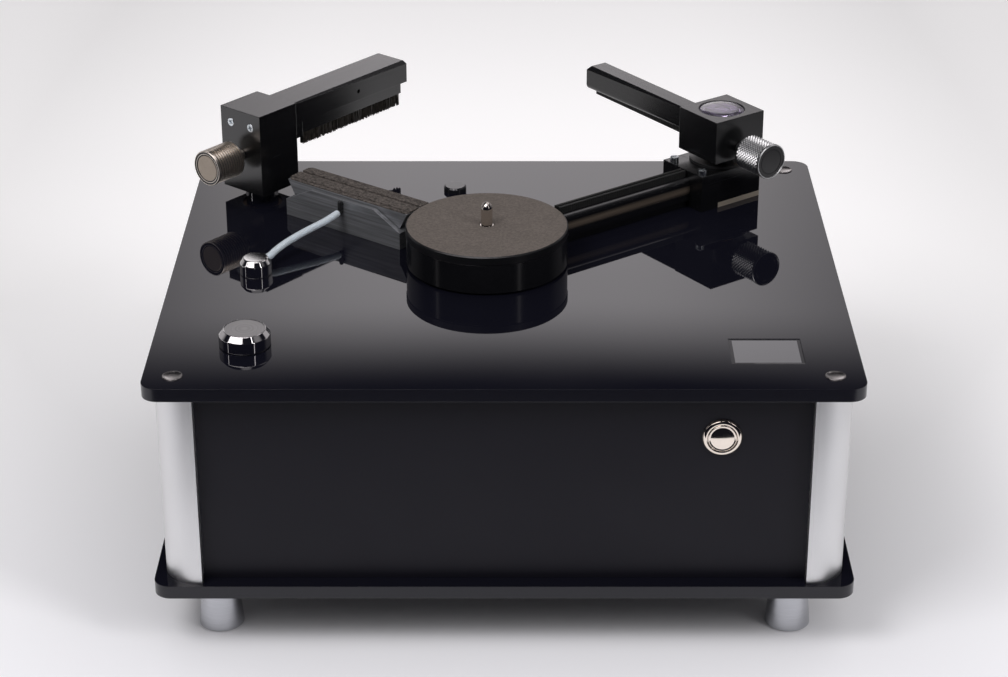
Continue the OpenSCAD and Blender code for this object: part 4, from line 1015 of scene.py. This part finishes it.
class NodeTree:
    """Short calls for the nodes of the floor and the world."""

    def __init__(self, tree):
        self.tree = tree

    def add(self, kind, **inputs):
        node = self.tree.nodes.new("ShaderNode" + kind)
        for socket, value in inputs.items():
            self.join(node.inputs[socket.replace("_", " ")], value)
        return node

    def join(self, socket, value):
        if isinstance(value, bpy.types.NodeSocket):
            self.tree.links.new(value, socket)
        else:
            socket.default_value = value

    def math(self, operation, a, b=0.0):
        node = self.add("Math")
        node.operation = operation
        self.join(node.inputs[0], a)
        self.join(node.inputs[1], b)
        return node.outputs[0]

    def step(self, value, low, high, out_low=0.0, out_high=1.0):
        """Soft step from one number to another."""
        node = self.add("MapRange", Value=value)
        node.interpolation_type = "SMOOTHSTEP"
        for socket, number in zip(("From Min", "From Max", "To Min", "To Max"),
                                  (low, high, out_low, out_high)):
            node.inputs[socket].default_value = number
        return node.outputs["Result"]

    def window(self, value, low, high, soft):
        """1 between two numbers and 0 outside, with soft ends."""
        rise = self.step(value, low - soft, low + soft)
        fall = self.step(value, high - soft, high + soft, 1.0, 0.0)
        return self.math("MULTIPLY", rise, fall)

    def mix(self, factor, a, b):
        node = self.add("MixShader")
        self.join(node.inputs[0], factor)
        self.join(node.inputs[1], a)
        self.join(node.inputs[2], b)
        return node.outputs[0]


def make_floor():
    """A plain pale table, lighter toward the rear, that ends in gloss in front and to the right."""
    mesh = bpy.data.meshes.new("floor")
    shape = bmesh.new()
    bmesh.ops.create_grid(shape, x_segments=2, y_segments=2, size=FLOOR_REACH)
    shape.to_mesh(mesh)
    shape.free()
    floor = bpy.data.objects.new("floor", mesh)
    bpy.context.scene.collection.objects.link(floor)
    finish = Finish("floor", FLOOR_REAR, 0.9, 0.0, Specular_IOR_Level=0.2)
    place = finish.add("SeparateXYZ", Vector=finish.place())
    x, y = place.outputs["X"], place.outputs["Y"]
    finish.tint(finish.ramp(y, -0.5, 0.35, 0, 1), FLOOR_FRONT, FLOOR_REAR)
    tree = NodeTree(finish.material.node_tree)
    rays = tree.add("LightPath")
    across = tree.math("ABSOLUTE", x)
    behind = tree.math("ADD", tree.step(y, 0.0, 0.5, 0.0, REAR_GLOW), tree.step(y, 0.6, 1.1, 0.0, FAR_FADE))
    behind = tree.math("MULTIPLY", behind, tree.step(across, 0.15, 0.5, 1.0, 0.3))
    beside = tree.step(across, 0.22, 0.5, 0.0, SIDE_GLOW)
    glow = tree.math("MULTIPLY", tree.math("MAXIMUM", behind, beside), rays.outputs["Is Camera Ray"])
    glowing = tree.add("AddShader")
    tree.join(glowing.inputs[0], finish.shader.outputs[0])
    tree.join(glowing.inputs[1], tree.add("Emission", Color=GLOW_TINT, Strength=glow).outputs[0])
    dark = tree.add("Emission", Color=STUDIO_DARK, Strength=1.0).outputs[0]
    beyond = tree.math("MAXIMUM", tree.step(y, *TABLE_EDGE, 1.0, 0.0), tree.step(x, *TABLE_RIGHT))
    hidden = tree.math("MULTIPLY", beyond, rays.outputs["Is Glossy Ray"])
    output = finish.nodes["Material Output"]
    tree.join(output.inputs["Surface"], tree.mix(hidden, glowing.outputs[0], dark))
    mesh.materials.append(finish.material)


# Lamps: azimuth from the camera's side and elevation in degrees, distance, size and power
LIGHTS = {
    "right_box": (52, 32, 2.0, (0.5, 0.9), 13),
    "left_box": (-45, 48, 1.9, (0.9, 0.7), 14),
}


def make_lights():
    """Lamps for the diffuse light; gloss sees their softboxes in the world."""
    for name, (azimuth, elevation, distance, size, power) in LIGHTS.items():
        data = bpy.data.lights.new(name, "AREA")
        data.shape = "RECTANGLE"
        data.size, data.size_y = size
        data.energy = power
        a, e = math.radians(azimuth), math.radians(elevation)
        toward = Vector((math.sin(a) * math.cos(e), -math.cos(a) * math.cos(e), math.sin(e)))
        light = bpy.data.objects.new(name, data)
        light.location = toward * distance + Vector((0, 0, PLATE_TOP))
        light.rotation_euler = toward.to_track_quat("Z", "Y").to_euler()
        light.visible_glossy = False
        bpy.context.scene.collection.objects.link(light)


AMBIENT = 0.94
AMBIENT_FALL = 1.6
BACKDROP_PLAIN = (0.87, 0.83, 0.85, 1)
BACKDROP_GLOSS = 1.75
BACKDROP_EDGE = (0.423, 0.4555)
BACKDROP_SIDES = (0.04, 0.2)
# Softboxes that gloss sees: azimuth from and to, elevation from and to and soft edge in degrees, brightness
SOFTBOXES = [
    (-80, -10, 34, 72, 4, 2.5),
    (-76, -74, 10, 60, 0.6, 5.0),
    (46, 48.5, 10, 60, 0.8, 6.0),
    (60, 95, 36, 60, 6, 0.2),
    (-185, 185, 70, 95, 3, 0.9),
    (105, 145, 42, 62, 4, 1.6),
    (-35, 35, 60, 67, 1.5, 6.0),
]


def make_world():
    """Soft light from above. The camera sees a plain backdrop, gloss the backdrop behind and softboxes."""
    world = bpy.data.worlds.new("studio")
    world.use_nodes = True
    world.node_tree.nodes.clear()
    tree = NodeTree(world.node_tree)
    rays = tree.add("LightPath")
    way = tree.add("SeparateXYZ", Vector=tree.add("TexCoord").outputs["Generated"])
    x, y, z = (way.outputs[axis] for axis in "XYZ")
    azimuth = tree.math("ARCTAN2", x, tree.math("MULTIPLY", y, -1.0))
    elevation = tree.math("ARCSINE", z)
    sides = tree.step(tree.math("ABSOLUTE", x), *BACKDROP_SIDES, 1.0, 0.25)
    rear = tree.math("MULTIPLY", tree.step(y, 0.1, 0.5), tree.step(z, *BACKDROP_EDGE, 1.0, 0.0))
    bright = tree.math("MULTIPLY", tree.math("MULTIPLY", rear, sides), BACKDROP_GLOSS)
    for *angles, strength in SOFTBOXES:
        left, right, low, high, soft = (math.radians(angle) for angle in angles)
        box = tree.math("MULTIPLY", tree.window(azimuth, left, right, soft),
                        tree.window(elevation, low, high, soft))
        bright = tree.math("ADD", bright, tree.math("MULTIPLY", box, strength))
    plain = tree.add("Background", Color=BACKDROP_PLAIN, Strength=1.0)
    lit = tree.add("Background", Color=BACKDROP_PLAIN, Strength=bright)
    dark = tree.add("Background", Color=STUDIO_DARK, Strength=1.0)
    mirrored = tree.add("AddShader")
    tree.join(mirrored.inputs[0], lit.outputs[0])
    tree.join(mirrored.inputs[1], dark.outputs[0])
    overhead = tree.math("POWER", tree.math("MAXIMUM", z, 0.0), AMBIENT_FALL)
    ambient = tree.add("Background", Color=(1, 1, 1, 1), Strength=tree.math("MULTIPLY", overhead, AMBIENT))
    gloss = tree.math("MAXIMUM", rays.outputs["Is Glossy Ray"], rays.outputs["Is Transmission Ray"])
    seen = tree.mix(gloss, ambient.outputs[0], mirrored.outputs[0])
    seen = tree.mix(rays.outputs["Is Camera Ray"], seen, plain.outputs[0])
    tree.join(tree.add("OutputWorld").inputs["Surface"], seen)
    bpy.context.scene.world = world


bpy.context.scene.view_settings.view_transform = "Standard"
make_camera()
make_floor()
make_lights()
make_world()
paint_nodes()
make_pieces()
